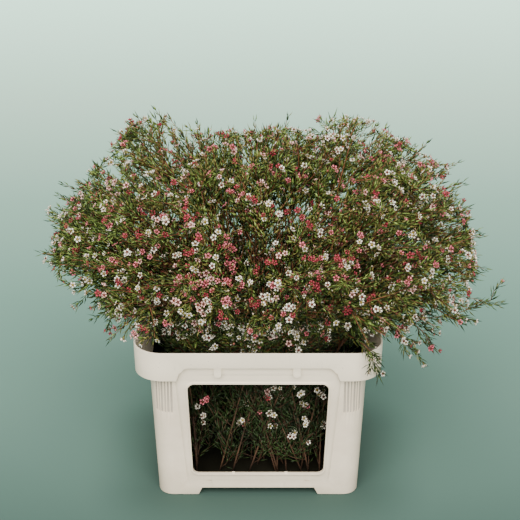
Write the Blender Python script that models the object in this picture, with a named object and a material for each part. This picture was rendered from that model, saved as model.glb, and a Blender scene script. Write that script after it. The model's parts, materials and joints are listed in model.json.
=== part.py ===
"""A flower bucket with a window, filled with flowering waxflower stems.

Units are metres, +Z is up, and the window faces -Y. The origin is on the ground, under the
middle of the whole thing. The bucket is one moulding. Each leafy stem is one fused solid:
a woody stem, the side twigs, a slim lumpy core of fine twigs, needle leaves and flowers.
"""

import math
import random

import bmesh
import bpy
from mathutils import Vector

# Finishes
CREAM = (0.72, 0.67, 0.58)
CREAM_ROUGHNESS = 0.45
LEAF_GREEN = (0.080, 0.130, 0.045)
LEAF_ROUGHNESS = 0.6
LEAF_TINTS = (0.85, 0.925, 1.0, 1.075, 1.15)
SHARP_ANGLE = math.radians(32)

# Bucket
HEIGHT = 0.279
WALL = 0.003
RIM_HALF = (0.200, 0.140)
RIM_RADIUS = 0.047
SKIRT_BOTTOM = 0.228
SKIRT_DRAFT = 0.0013
FOOT_HALF = (0.1654, 0.1165)
BODY_DRAFT = (0.0443, 0.0405)
FOOT_RADIUS = 0.025
SHOULDER_RADIUS = 0.034
SHOULDER_HEIGHT = 0.236
FLOOR_TOP = 0.017
FLOOR_BOTTOM = 0.014
FOOT_EDGE = 0.0015
CORNER_STEPS = 6

# The rim in section: (inset from the outermost outline, drop from the top), under and over it
RIM_UNDER = ((0.0085, 0.0090), (WALL, 0.0070))
RIM_OVER = ((0.0009, 0.0), (WALL, 0.0004), (0.0080, 0.0056))
RIM_EDGE = 0.0018

# Raised panel on the front and the back of the bucket, and the arch cut in the skirt above it
PANEL_PROUD = 0.003
PANEL_STATIONS = (
    # height, half width, how far it stands out of the wall
    (0.0270, 0.1135, 0.0004),
    (0.0350, 0.1145, 0.0030),
    (0.2050, 0.1285, 0.0030),
    (0.2280, 0.1300, 0.0045),
    (0.2400, 0.1325, 0.0080),
    (0.2580, 0.1335, 0.0100),
)
PANEL_EDGE = 0.0035
ARCH_TOP = 0.252
ARCH_HALF_TOP = 0.116
ARCH_HALF_BOTTOM = 0.131
ARCH_BEND = 0.010
ARCH_SPARE = 0.002
TAB_X = (-0.0645, 0.0618)
TAB_HALF_WIDTH = 0.006
TAB_BOTTOM = 0.234
TAB_FACE = 0.1385
TAB_ROOT = 0.002
TAB_STEPS = 4

# Window
WINDOW_BOTTOM = 0.0435
WINDOW_TOP = 0.2176
WINDOW_HALF_TOP = 0.1136
WINDOW_HALF_BOTTOM = 0.1078
WINDOW_RADIUS = 0.0110
WINDOW_CORNER_STEPS = 4
BEAD_WIDTH = 0.0035
BEAD_PROUD = 0.0012
SILL_NIB_X = (-0.041, 0.046)
SILL_NIB_SIZE = (0.005, 0.003, 0.0016)
SILL_NIB_ROOT = 0.002

# How far from front to back the cutters of the window and the slits reach
CUT_REACH = (-0.160, -0.100)

# Flutes on the corners, drain slits and feet
FLUTES = 6
FLUTE_PITCH = 0.006
FLUTE_WIDTH = 0.0038
FLUTE_DEPTH = 0.0012
FLUTE_PROUD = 0.003
FLUTE_BOTTOM = 0.157
FLUTE_TOP = 0.218
FLUTE_FIRST_X = 0.137
SLIT_X = 0.080
SLIT_Z = 0.028
SLIT_SIZE = (0.007, 0.0015)
FOOT_GAP_HALF_TOP = 0.093
FOOT_GAP_HALF_BOTTOM = 0.0995
FOOT_GAP_HALF_SIDE = 0.058

# The fan of stems: how wide it is at the floor, at two control heights and at the tips
DEPTH_RATIO = 0.72
CORNER_POWER = 3.0
FAN_FOOT = 0.120
FAN_LOW = (0.140, 0.240)
FAN_HIGH = (0.170, 0.420)
FAN_HIGH_DROP = 0.020
FAN_TIP_RADIUS = 0.383
FAN_TIP_BASE = 0.280
FAN_TIP_RISE = 0.335
FAN_TIP_POWER = 0.6
FAN_TIP_ANGLE = math.radians(86)
FAN_EDGE = 1.03
INVERSE_STEPS = 14
INVERSE_STRIDE = 0.15

# Stems
SEED = 2
STEM_ROWS = ((-0.77, 4, 0.58), (-0.39, 5, 0.78), (0.0, 6, 0.84), (0.39, 5, 0.78), (0.77, 4, 0.58))
SITE_JITTER = 0.035
CELL_MARGIN = 0.011
STEM_FOOT = FLOOR_TOP + 0.0003
STEM_RADIUS = (0.0030, 0.0012)
STEM_STEPS = 6
CORE_FROM = 0.50
CORE_TO = 0.93
CORE_SWELL = (0.30, 0.85, 1.0, 0.80, 0.25)
CORE_SIDES = 6
CORE_FILL = 0.62
CORE_TUFTS = 12
TUFT_LENGTH = (0.020, 0.034)
ROOT_SHARE = 0.25
TWIGS = (6, 7)
LOW_TWIGS = 2
TWIG_RADIUS = (0.0014, 0.0011, 0.0008)
NEEDLES = 3
BARB_LENGTH = (0.018, 0.028)
BARB_BASE = 0.16
NEEDLE_RADIUS = 0.0012
FLOWER_RADIUS = 0.0072
FLOWER_NOTCH = 0.0036
FLOWER_RISE = 0.0034
FLOWER_CUP = 0.0016
WALL_CLEARANCE = 0.004
MOUTH_FLARE = (0.012, 0.006)
WINDOW_SPARE = 0.02
WINDOW_KEEP_OUT = -0.0950
TWIG_HALF_DEPTH = 0.256
STRAY_TIPS = ((0.372, -0.100, 0.335), (-0.370, 0.095, 0.420))
GOLDEN_ANGLE = math.radians(137.508)


def clear_scene():
    for item in list(bpy.data.objects):
        bpy.data.objects.remove(item, do_unlink=True)


def make_material(name, color, roughness):
    material = bpy.data.materials.new(name)
    material.use_nodes = True
    shader = material.node_tree.nodes["Principled BSDF"]
    shader.inputs["Base Color"].default_value = (*color, 1.0)
    shader.inputs["Roughness"].default_value = roughness
    shader.inputs["Metallic"].default_value = 0.0
    material.diffuse_color = (*color, 1.0)
    return material


def solid_object(name, solid):
    """An object from (points, faces), with its faces pointing out."""
    points, faces = solid
    mesh = bpy.data.meshes.new(name)
    mesh.from_pydata([tuple(p) for p in points], [], faces)
    work = bmesh.new()
    work.from_mesh(mesh)
    bmesh.ops.recalc_face_normals(work, faces=work.faces)
    work.to_mesh(mesh)
    work.free()
    item = bpy.data.objects.new(name, mesh)
    bpy.context.scene.collection.objects.link(item)
    return item


def is_closed(mesh):
    work = bmesh.new()
    work.from_mesh(mesh)
    closed = all(len(edge.link_faces) == 2 for edge in work.edges)
    work.free()
    return closed and len(mesh.polygons) > 3


def combine(base, solids, operation, solver="EXACT"):
    """Unites the solids with the base, or cuts them from it, and applies the result."""
    helpers = bpy.data.collections.new("helpers")
    bpy.context.scene.collection.children.link(helpers)
    for number, solid in enumerate(solids):
        helper = solid_object(f"helper_{number}", solid)
        bpy.context.scene.collection.objects.unlink(helper)
        helpers.objects.link(helper)
    modifier = base.modifiers.new("combine", "BOOLEAN")
    modifier.operation = operation
    modifier.operand_type = "COLLECTION"
    modifier.collection = helpers
    modifier.solver = solver
    bpy.context.view_layer.update()
    evaluated = base.evaluated_get(bpy.context.evaluated_depsgraph_get())
    result = bpy.data.meshes.new_from_object(evaluated)
    base.modifiers.remove(modifier)
    for helper in list(helpers.objects):
        bpy.data.objects.remove(helper, do_unlink=True)
    bpy.data.collections.remove(helpers)
    return result


def apply_result(base, solids, operation):
    result = combine(base, solids, operation)
    if not is_closed(result):
        result = combine(base, solids, operation, solver="MANIFOLD")
    base.data = result


def keep_largest_body(item):
    """Drops loose scraps that the union left beside the main body."""
    work = bmesh.new()
    work.from_mesh(item.data)
    unseen = set(work.verts)
    bodies = []
    while unseen:
        start = unseen.pop()
        body = {start}
        front = [start]
        while front:
            for edge in front.pop().link_edges:
                for vertex in edge.verts:
                    if vertex in unseen:
                        unseen.discard(vertex)
                        body.add(vertex)
                        front.append(vertex)
        bodies.append(body)
    bodies.sort(key=len, reverse=True)
    for scrap in bodies[1:]:
        bmesh.ops.delete(work, geom=list(scrap), context="VERTS")
    work.to_mesh(item.data)
    work.free()


def loft(rings):
    """A closed solid through rings of equal length, with a flat cap at each end."""
    count = len(rings[0])
    points = [p for ring in rings for p in ring]
    faces = []
    for level in range(len(rings) - 1):
        for i in range(count):
            j = (i + 1) % count
            low = level * count
            faces.append((low + i, low + j, low + count + j, low + count + i))
    faces.append(tuple(range(count))[::-1])
    faces.append(tuple(range(len(points) - count, len(points))))
    return points, faces


def prism(outline, near, far):
    """A solid between two copies of an outline of (x, z) points. near and far give y at a point."""
    return loft([[(x, near(x, z), z) for x, z in outline], [(x, far(x, z), z) for x, z in outline]])


def block(x0, x1, y0, y1, z0, z1):
    return loft([[(x0, y0, z), (x1, y0, z), (x1, y1, z), (x0, y1, z)] for z in (z0, z1)])


def body_half(axis, z):
    """Half the width (axis 0) or depth (axis 1) of the tapered body at a height."""
    return FOOT_HALF[axis] + BODY_DRAFT[axis] * z


def body_radius(z):
    share = min(z / SHOULDER_HEIGHT, 1.0)
    return FOOT_RADIUS + (SHOULDER_RADIUS - FOOT_RADIUS) * share


def rounded_ring(half_x, half_y, radius, z):
    """A rounded rectangle, anticlockwise from the +X side."""
    points = []
    for corner, (sign_x, sign_y) in enumerate(((1, 1), (-1, 1), (-1, -1), (1, -1))):
        for step in range(CORNER_STEPS + 1):
            angle = math.radians(90 * (corner + step / CORNER_STEPS))
            x = sign_x * (half_x - radius) + radius * math.cos(angle)
            y = sign_y * (half_y - radius) + radius * math.sin(angle)
            points.append((x, y, z))
    return points


def body_ring(z, inset=0.0):
    radius = body_radius(z) - inset
    return rounded_ring(body_half(0, z) - inset, body_half(1, z) - inset, radius, z)


def rim_ring(inset, z):
    return rounded_ring(RIM_HALF[0] - inset, RIM_HALF[1] - inset, RIM_RADIUS - inset, z)


def bucket_shell():
    """The tapered body, the turned-over rim and its skirt, as one wall of even thickness."""
    rings = [body_ring(0.0, inset=FOOT_EDGE), body_ring(FOOT_EDGE), body_ring(SHOULDER_HEIGHT)]
    rings += [rim_ring(inset, HEIGHT - drop) for inset, drop in RIM_UNDER]
    rings += [rim_ring(WALL + SKIRT_DRAFT, SKIRT_BOTTOM), rim_ring(SKIRT_DRAFT, SKIRT_BOTTOM)]
    rings.append(rim_ring(0.0, HEIGHT - RIM_EDGE))
    rings += [rim_ring(inset, HEIGHT - drop) for inset, drop in RIM_OVER]
    rings += [body_ring(SHOULDER_HEIGHT, inset=WALL), body_ring(FLOOR_TOP, inset=WALL)]
    return loft(rings)


def panel_pad(side):
    """The raised panel on the front (side -1) or the back (side 1), rooted in the wall."""
    rings = []
    for z, half, proud in PANEL_STATIONS:
        wall = body_half(1, min(z, SHOULDER_HEIGHT))
        root = side * (wall - WALL / 2)
        face = side * (wall + proud)
        rings.append(
            [
                (-half - PANEL_EDGE, root, z),
                (half + PANEL_EDGE, root, z),
                (half, face, z),
                (-half, face, z),
            ]
        )
    return loft(rings)


def skirt_arch(side):
    """The cutter that opens the skirt above a panel."""
    right = [
        (ARCH_HALF_BOTTOM, SKIRT_BOTTOM - ARCH_SPARE),
        (ARCH_HALF_TOP + 0.6 * ARCH_BEND, ARCH_TOP - ARCH_BEND),
        (ARCH_HALF_TOP, ARCH_TOP - 0.2 * ARCH_BEND),
        (ARCH_HALF_TOP - ARCH_BEND, ARCH_TOP),
    ]
    outline = right + [(-x, z) for x, z in reversed(right)]
    inner = side * (RIM_HALF[1] - WALL - SKIRT_DRAFT - ARCH_SPARE / 2)
    outer = side * (RIM_HALF[1] + WALL)
    return prism(outline, lambda x, z: inner, lambda x, z: outer)


def window_outline(grow):
    """The window's (x, z) outline, tapered like the body, with rounded corners."""
    radius = WINDOW_RADIUS + grow
    low = WINDOW_BOTTOM - grow
    high = WINDOW_TOP + grow
    points = []
    corners = ((1, high, 0), (-1, high, 1), (-1, low, 2), (1, low, 3))
    for sign, level, quarter in corners:
        half = (WINDOW_HALF_TOP if level == high else WINDOW_HALF_BOTTOM) + grow
        middle_z = level - radius if level == high else level + radius
        for step in range(WINDOW_CORNER_STEPS + 1):
            angle = math.radians(90 * (quarter + step / WINDOW_CORNER_STEPS))
            x = sign * (half - radius) + radius * math.cos(angle)
            points.append((x, middle_z + radius * math.sin(angle)))
    return points


def window_bead():
    def root(x, z):
        return -(body_half(1, z) - WALL / 2)

    def face(x, z):
        return -(body_half(1, z) + PANEL_PROUD + BEAD_PROUD)

    return prism(window_outline(BEAD_WIDTH), root, face)


def window_cutter():
    near, far = CUT_REACH
    return prism(window_outline(0.0), lambda x, z: near, lambda x, z: far)


def tab(x, side):
    """A short rounded rib that hangs under the arch."""
    top = ARCH_TOP + TAB_ROOT
    outline = [(x + TAB_HALF_WIDTH, top), (x - TAB_HALF_WIDTH, top)]
    for step in range(TAB_STEPS + 1):
        angle = math.radians(180 + 180 * step / TAB_STEPS)
        z = TAB_BOTTOM + TAB_HALF_WIDTH * (1 + math.sin(angle))
        outline.append((x + TAB_HALF_WIDTH * math.cos(angle), z))
    root = side * body_half(1, SHOULDER_HEIGHT)
    return prism(outline, lambda x, z: root, lambda x, z: side * TAB_FACE)


def corner_point(distance, z):
    """A point and its normal on the body's front right corner, a distance along the outline."""
    radius = body_radius(z)
    start = body_half(0, z) - radius
    along = FLUTE_FIRST_X + distance - start
    if along <= 0:
        return Vector((start + along, -body_half(1, z), z)), Vector((0, -1, 0))
    angle = along / radius
    normal = Vector((math.sin(angle), -math.cos(angle), 0))
    middle = Vector((start, -body_half(1, z) + radius, z))
    return middle + radius * normal, normal


def flute(number, sign_x, sign_y):
    """The cutter for one shallow upright groove on a corner."""
    rings = []
    for z in (FLUTE_BOTTOM, FLUTE_TOP):
        point, normal = corner_point((number + 0.5) * FLUTE_PITCH, z)
        across = Vector((-normal.y, normal.x, 0)) * FLUTE_WIDTH / 2
        deep = point - normal * FLUTE_DEPTH
        high = point + normal * FLUTE_PROUD
        ring = [deep - across, deep + across, high + across, high - across]
        rings.append([(sign_x * p.x, -sign_y * p.y, p.z) for p in ring])
    return loft(rings)


def foot_gaps():
    """The two channels under the floor that leave four corner feet."""
    reach = 0.25
    low = -0.01
    slope = (FOOT_GAP_HALF_BOTTOM - FOOT_GAP_HALF_TOP) / FLOOR_BOTTOM
    front = [
        (-FOOT_GAP_HALF_BOTTOM + slope * low, low),
        (FOOT_GAP_HALF_BOTTOM - slope * low, low),
        (FOOT_GAP_HALF_TOP, FLOOR_BOTTOM),
        (-FOOT_GAP_HALF_TOP, FLOOR_BOTTOM),
    ]
    side = FOOT_GAP_HALF_SIDE
    return [
        prism(front, lambda x, z: -reach, lambda x, z: reach),
        block(-reach, reach, -side, side, low, FLOOR_BOTTOM - 0.001),
    ]


def build_bucket():
    bucket = solid_object("bucket", bucket_shell())
    apply_result(bucket, [skirt_arch(side) for side in (-1, 1)], "DIFFERENCE")
    added = [panel_pad(side) for side in (-1, 1)]
    added += [tab(x, side) for x in TAB_X for side in (-1, 1)]
    added.append(window_bead())
    apply_result(bucket, added, "UNION")
    cut = [window_cutter()] + foot_gaps()
    half = SLIT_SIZE[0] / 2
    for x in (-SLIT_X, SLIT_X):
        cut.append(block(x - half, x + half, *CUT_REACH, SLIT_Z, SLIT_Z + SLIT_SIZE[1]))
    for number in range(FLUTES):
        cut += [flute(number, sx, sy) for sx in (-1, 1) for sy in (-1, 1)]
    apply_result(bucket, cut, "DIFFERENCE")
    nibs = []
    half = SILL_NIB_SIZE[0] / 2
    front = -(body_half(1, WINDOW_BOTTOM) + SILL_NIB_ROOT / 2)
    for x in SILL_NIB_X:
        low, top = WINDOW_BOTTOM - SILL_NIB_ROOT, WINDOW_BOTTOM + SILL_NIB_SIZE[2]
        nibs.append(block(x - half, x + half, front, front + SILL_NIB_SIZE[1], low, top))
    apply_result(bucket, nibs, "UNION")
    keep_largest_body(bucket)
    bucket.data.materials.clear()
    bucket.data.materials.append(make_material("cream_plastic", CREAM, CREAM_ROUGHNESS))
    bucket.data.shade_smooth()
    bucket.data.set_sharp_from_angle(angle=SHARP_ANGLE)
    return bucket


def fan_radius(a, b):
    return (abs(a) ** CORNER_POWER + abs(b) ** CORNER_POWER) ** (1 / CORNER_POWER)


def fan_point(a, b, s):
    """A point of the fan: (a, b) says which stem, from the middle to the edge, and s how far up it."""
    r = fan_radius(a, b)
    wide, high = fan_profile(r, s)
    if r < 1e-9:
        return Vector((0.0, 0.0, high))
    return Vector((wide * a / r, DEPTH_RATIO * wide * b / r, high))


def fan_profile(r, s):
    """Distance from the middle and height on the cubic curve of the stems at r."""
    angle = FAN_TIP_ANGLE * min(r, 1.04)
    tip_high = FAN_TIP_BASE + FAN_TIP_RISE * max(math.cos(angle), 0.0) ** FAN_TIP_POWER
    wide = (FAN_FOOT * r, FAN_LOW[0] * r, FAN_HIGH[0] * r, FAN_TIP_RADIUS * math.sin(angle))
    high = (STEM_FOOT, FAN_LOW[1], FAN_HIGH[1] - FAN_HIGH_DROP * r * r, tip_high)
    rest = 1 - s
    weights = (rest**3, 3 * rest * rest * s, 3 * rest * s * s, s**3)
    return sum(w * v for w, v in zip(weights, wide)), sum(w * v for w, v in zip(weights, high))


def fan_inverse(point):
    """The (a, b, s) of a point, by Newton's method on the profile."""
    x, y = point.x, point.y / DEPTH_RATIO
    wide = fan_radius(x, y)
    r = min(wide / 0.30, 0.95)
    s = min(max(point.z / 0.60, 0.02), 1.0)
    step = 1e-4
    for _ in range(INVERSE_STEPS):
        w0, h0 = fan_profile(r, s)
        wr, hr = fan_profile(r + step, s)
        ws, hs = fan_profile(r, s + step)
        wr, hr, ws, hs = (wr - w0) / step, (hr - h0) / step, (ws - w0) / step, (hs - h0) / step
        determinant = wr * hs - ws * hr
        if abs(determinant) < 1e-9:
            break
        dw, dh = wide - w0, point.z - h0
        r += max(-INVERSE_STRIDE, min(INVERSE_STRIDE, (dw * hs - ws * dh) / determinant))
        s += max(-INVERSE_STRIDE, min(INVERSE_STRIDE, (wr * dh - dw * hr) / determinant))
        r = min(max(r, 0.0), FAN_EDGE)
    if wide < 1e-9:
        return 0.0, 0.0, s
    return r * x / wide, r * y / wide, s


def stem_sites(draw):
    """Where the stems stand in the fan, row by row, each a little out of line."""
    sites = []
    for b, count, reach in STEM_ROWS:
        for i in range(count):
            a = -reach + 2 * reach * i / (count - 1)
            sites.append((a + draw.uniform(-1, 1) * SITE_JITTER, b + draw.uniform(-1, 1) * SITE_JITTER))
    return sites


class Cell:
    """The share of the fan that belongs to one stem, out to half way to each neighbour."""

    def __init__(self, number, sites):
        self.site = sites[number]
        self.others = [site for i, site in enumerate(sites) if i != number]

    def depth(self, a, b):
        """How far inside the cell's nearest border (a, b) lies."""
        own = (a - self.site[0]) ** 2 + (b - self.site[1]) ** 2
        least = 1.0
        for oa, ob in self.others:
            apart = math.hypot(oa - self.site[0], ob - self.site[1])
            least = min(least, ((a - oa) ** 2 + (b - ob) ** 2 - own) / (2 * apart))
        return least

    def reach(self, direction):
        """How far the cell goes from its stem in a direction, up to the edge of the fan."""
        da, db = math.cos(direction), math.sin(direction)
        far = 0.45
        for oa, ob in self.others:
            va, vb = oa - self.site[0], ob - self.site[1]
            along = va * da + vb * db
            if along > 1e-6:
                far = min(far, (va * va + vb * vb) / (2 * along))
        while far > 0.02 and fan_radius(self.site[0] + far * da, self.site[1] + far * db) > 1.0:
            far -= 0.01
        return far

    def holds(self, points):
        """Whether every point is in the cell and clear of the bucket."""
        for point in points:
            a, b, _ = fan_inverse(point)
            if self.depth(a, b) < CELL_MARGIN or not clear_of_bucket(point):
                return False
        return True


def in_rounded(point, half_x, half_y, radius):
    dx = max(abs(point.x) - (half_x - radius), 0.0)
    dy = max(abs(point.y) - (half_y - radius), 0.0)
    return math.hypot(dx, dy) <= radius


def clear_of_bucket(point):
    """Whether a point lies inside the bucket away from its walls, or above or outside its rim."""
    if point.z > HEIGHT + WALL_CLEARANCE:
        return True
    inset = WALL + WALL_CLEARANCE
    if point.z > SHOULDER_HEIGHT:
        share = (point.z - SHOULDER_HEIGHT) / (HEIGHT - SHOULDER_HEIGHT)
        half_x = body_half(0, SHOULDER_HEIGHT) - inset + share * MOUTH_FLARE[0]
        half_y = body_half(1, SHOULDER_HEIGHT) - inset + share * MOUTH_FLARE[1]
        return in_rounded(point, half_x, half_y, SHOULDER_RADIUS)
    z = max(point.z, 0.0)
    by_window = abs(point.x) < WINDOW_HALF_TOP + WINDOW_SPARE and point.z > WINDOW_BOTTOM - WINDOW_SPARE
    if by_window and point.y < 0:
        return point.y > WINDOW_KEEP_OUT
    inside = in_rounded(point, body_half(0, z) - inset, body_half(1, z) - inset, body_radius(z) - inset)
    return inside and point.z >= STEM_FOOT - 1e-6


def needle(root, tip, radius):
    """A three-sided needle leaf from a point inside its twig to its tip."""
    ahead = (tip - root).normalized()
    side = ahead.orthogonal().normalized()
    across = ahead.cross(side)
    base = []
    for k in range(3):
        angle = 2 * math.pi * k / 3
        base.append(root + radius * (math.cos(angle) * side + math.sin(angle) * across))
    return base + [tip], [(0, 1, 2), (0, 1, 3), (1, 2, 3), (2, 0, 3)]


def star(middle, facing, side, spin):
    """Ten points round a flower's rim: five petal tips and the notches between them."""
    across = facing.cross(side)
    points = []
    for k in range(10):
        angle = spin + math.pi * k / 5
        radius = FLOWER_RADIUS if k % 2 == 0 else FLOWER_NOTCH
        rise = FLOWER_RISE if k % 2 == 0 else FLOWER_RISE * 0.75
        ray = math.cos(angle) * side + math.sin(angle) * across
        points.append(middle + facing * rise + ray * radius)
    return points


def ring_of_three(middle, facing, side, radius):
    across = facing.cross(side)
    turns = [2 * math.pi * k / 3 for k in range(3)]
    return [middle + radius * (math.cos(t) * side + math.sin(t) * across) for t in turns]


def flowering_twig(path, radii, facing, draw, leafy=True):
    """A three-sided twig that opens into a flower of five petals, with a needle leaf on it."""
    side = facing.orthogonal().normalized()
    points = []
    for i, middle in enumerate(path):
        ahead = facing if i == len(path) - 1 else (path[i + 1] - middle).normalized()
        level = (side - ahead * side.dot(ahead)).normalized()
        points += ring_of_three(middle, ahead, level, radii[i])
    faces = [(2, 1, 0)]
    for level in range(len(path) - 1):
        for k in range(3):
            here, after = 3 * level + k, 3 * level + (k + 1) % 3
            faces.append((here, after, after + 3))
            faces.append((here, after + 3, here + 3))
    rim = len(points)
    throat = rim - 3
    points += star(path[-1], facing, side, draw.uniform(0, 0.3))
    points.append(path[-1] + facing * FLOWER_CUP)
    nearest = [int(((k + 1.0) * 36) // 120) % 3 for k in range(10)]
    for k in range(10):
        here, after = rim + k, rim + (k + 1) % 10
        faces.append((throat + nearest[k], after, here))
        if nearest[(k + 1) % 10] != nearest[k]:
            faces.append((throat + nearest[k], throat + nearest[(k + 1) % 10], after))
        faces.append((here, after, len(points) - 1))
    if leafy:
        add_barb(points, faces, 7 + 2 * draw.randrange(3), path, draw)
    return points, faces


def add_barb(points, faces, pick, path, draw):
    """Draws a small patch of one face of a twig out into a needle leaf that slants forward."""
    corners = faces[pick]
    middle = sum((points[c] for c in corners), Vector()) / 3
    out = (middle - path[1].lerp(path[2], 0.5))
    ahead = (path[2] - path[1]).normalized()
    out = (out - ahead * out.dot(ahead)).normalized()
    inner = []
    for c in corners:
        inner.append(len(points))
        points.append(middle.lerp(points[c], BARB_BASE))
    points.append(middle + (ahead * 0.8 + out).normalized() * draw.uniform(*BARB_LENGTH))
    tip = len(points) - 1
    faces.pop(pick)
    for k in range(3):
        j = (k + 1) % 3
        faces.append((corners[k], corners[j], inner[j]))
        faces.append((corners[k], inner[j], inner[k]))
        faces.append((inner[k], inner[j], tip))


def stem_top(a, b):
    """How far up the fan a stem ends: lowest in the middle, with a hump on either side."""
    x = fan_point(a, b, 1.0).x
    return 0.955 + 0.055 * math.exp(-((abs(x) - 0.16) ** 2) / (2 * 0.055**2))


def stem_path(cell, top, draw):
    """The woody stem, nearly on its site's curve, with a slight wander."""
    path = []
    for i in range(STEM_STEPS):
        s = top * i / (STEM_STEPS - 1)
        sway = 0.02 if 0 < i < STEM_STEPS - 1 else 0.0
        a = cell.site[0] + draw.uniform(-sway, sway)
        b = cell.site[1] + draw.uniform(-sway, sway)
        path.append(fan_point(a, b, s))
    return path


def along(path, share):
    """The point at a share of a path, counted by its steps."""
    place = max(0.0, min(share, 1.0)) * (len(path) - 1)
    i = min(int(place), len(path) - 2)
    return path[i].lerp(path[i + 1], place - i)


def core_swell(s, top):
    """How wide the core is at s, as a share of its widest, and 0 outside it."""
    place = (s / top - CORE_FROM) / (CORE_TO - CORE_FROM) * (len(CORE_SWELL) - 1)
    if place < 0 or place >= len(CORE_SWELL) - 1:
        return 0.0
    i = int(place)
    return CORE_SWELL[i] + (CORE_SWELL[i + 1] - CORE_SWELL[i]) * (place - i)


def leafy_core(cell, path, top, draw):
    """A slim lumpy body round the upper stem, which the twigs, needles and flowers stand out of."""
    rings = []
    levels = len(CORE_SWELL)
    for i, swell in enumerate(CORE_SWELL):
        s = top * (CORE_FROM + (CORE_TO - CORE_FROM) * i / (levels - 1))
        ring = []
        for k in range(CORE_SIDES):
            direction = 2 * math.pi * (k + 0.5 * (i % 2)) / CORE_SIDES
            far = cell.reach(direction) * CORE_FILL * swell * draw.uniform(0.65, 1.0)
            a = cell.site[0] + far * math.cos(direction)
            b = cell.site[1] + far * math.sin(direction)
            ring.append(fan_point(a, b, s + draw.uniform(-0.015, 0.015)))
        rings.append(ring)
    points = [p for ring in rings for p in ring]
    points += [along(path, CORE_FROM - 0.05), along(path, CORE_TO + 0.03)]
    faces = []
    for level in range(levels - 1):
        for k in range(CORE_SIDES):
            low, j = level * CORE_SIDES, (k + 1) % CORE_SIDES
            faces.append((low + k, low + j, low + CORE_SIDES + j))
            faces.append((low + k, low + CORE_SIDES + j, low + CORE_SIDES + k))
    for number in draw.sample(range(len(faces)), CORE_TUFTS):
        add_tuft(points, faces, number, path, draw)
    low_end = levels * CORE_SIDES
    last = (levels - 1) * CORE_SIDES
    for k in range(CORE_SIDES):
        j = (k + 1) % CORE_SIDES
        faces.append((j, k, low_end))
        faces.append((last + k, last + j, low_end + 1))
    return points, faces


def add_tuft(points, faces, number, path, draw):
    """Draws one face of the core out into a pointed tuft of leaves, slanting up the stem."""
    corners = faces[number]
    middle = sum((points[c] for c in corners), Vector()) / 3
    near = min(path, key=lambda p: (p - middle).length)
    ahead = (path[-1] - path[-3]).normalized()
    out = middle - near
    out = (out - ahead * out.dot(ahead)).normalized()
    points.append(middle + (ahead * 0.9 + out).normalized() * draw.uniform(*TUFT_LENGTH))
    tip = len(points) - 1
    faces[number] = (corners[0], corners[1], tip)
    faces.append((corners[1], corners[2], tip))
    faces.append((corners[2], corners[0], tip))


def flower_facing(tip, ahead):
    """Flowers look along their twig and away from the middle of the bush."""
    outward = Vector((tip.x, tip.y / DEPTH_RATIO, 0.35 * (tip.z + 0.1)))
    return (ahead.normalized() + 0.8 * outward.normalized()).normalized()


def side_twig(cell, path, top, start, rise, direction, fill, draw):
    """A twig that spreads to the cell's border and ends in a flower."""
    reach = cell.reach(direction)
    sunk = ROOT_SHARE * core_swell(start, top) * reach
    points = [along(path, start / top)]
    if sunk > 0:
        a = cell.site[0] + sunk * math.cos(direction)
        b = cell.site[1] + sunk * math.sin(direction)
        points = [fan_point(a, b, start)]
    for share, climb in ((0.72, 0.42), (1.0, 1.0)):
        far = sunk + (reach * fill - sunk) * share
        a = cell.site[0] + far * math.cos(direction)
        b = cell.site[1] + far * math.sin(direction)
        points.append(fan_point(a, b, start + rise * climb))
    points[-1].y = max(-TWIG_HALF_DEPTH, min(TWIG_HALF_DEPTH, points[-1].y))
    facing = flower_facing(points[-1], points[-1] - points[-2])
    twig = flowering_twig(points, TWIG_RADIUS, facing, draw)
    return twig, points[1:] + twig[0][6:]


def add_twigs(cell, path, top, draw, solids):
    """Twigs with flowers at even turns round the stem, up to its tip, redrawn until they fit."""
    turn = draw.uniform(0, 2 * math.pi)
    count = TWIGS[1] if fan_radius(*cell.site) > 0.6 else TWIGS[0]
    for number in range(count):
        share = number / (count - 1)
        for attempt in range(10):
            start = top * (0.55 + 0.33 * share) + draw.uniform(-0.01, 0.01)
            rise = top * (0.14 + 0.04 * (1 - share)) * draw.uniform(0.85, 1.1)
            direction = turn + GOLDEN_ANGLE * number + draw.uniform(-0.3, 0.3)
            fill = draw.uniform(0.68, 0.86) * (1 - 0.05 * attempt) * (1 - 0.25 * share)
            twig, reached = side_twig(cell, path, top, start, rise, direction, fill, draw)
            if cell.holds(reached):
                solids.append(twig)
                break


def add_low_twigs(cell, path, top, draw, solids):
    """Short twigs with flowers inside the bucket, on the two rows of stems behind the window."""
    if cell.site[1] > -0.3:
        return
    count = LOW_TWIGS if cell.site[1] < -0.6 else 1
    for number in range(count):
        for attempt in range(10):
            start = (0.13 if count > 1 else 0.22) + 0.11 * number + draw.uniform(-0.03, 0.03)
            direction = math.radians(-90) + draw.uniform(-1.2, 1.2)
            fill = draw.uniform(0.6, 0.8) * (1 - 0.06 * attempt)
            twig, reached = side_twig(cell, path, top, start, 0.08, direction, fill, draw)
            if cell.holds(reached):
                solids.append(twig)
                break


def add_needles(cell, path, top, draw, solids):
    """Needle leaves that stand out of the core, slanting up and out."""
    made = 0
    for attempt in range(NEEDLES * 6):
        if made >= NEEDLES:
            return
        start = top * draw.uniform(CORE_FROM + 0.08, CORE_TO - 0.05)
        direction = GOLDEN_ANGLE * attempt + draw.uniform(-0.4, 0.4)
        reach = cell.reach(direction)
        ends = []
        for share, rise in ((ROOT_SHARE * core_swell(start, top), 0.0), (draw.uniform(0.70, 0.92), 0.10)):
            a = cell.site[0] + reach * share * math.cos(direction)
            b = cell.site[1] + reach * share * math.sin(direction)
            ends.append(fan_point(a, b, start + rise))
        leaf = needle(ends[0], ends[1], NEEDLE_RADIUS)
        if cell.holds(leaf[0]):
            solids.append(leaf)
            made += 1


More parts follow.
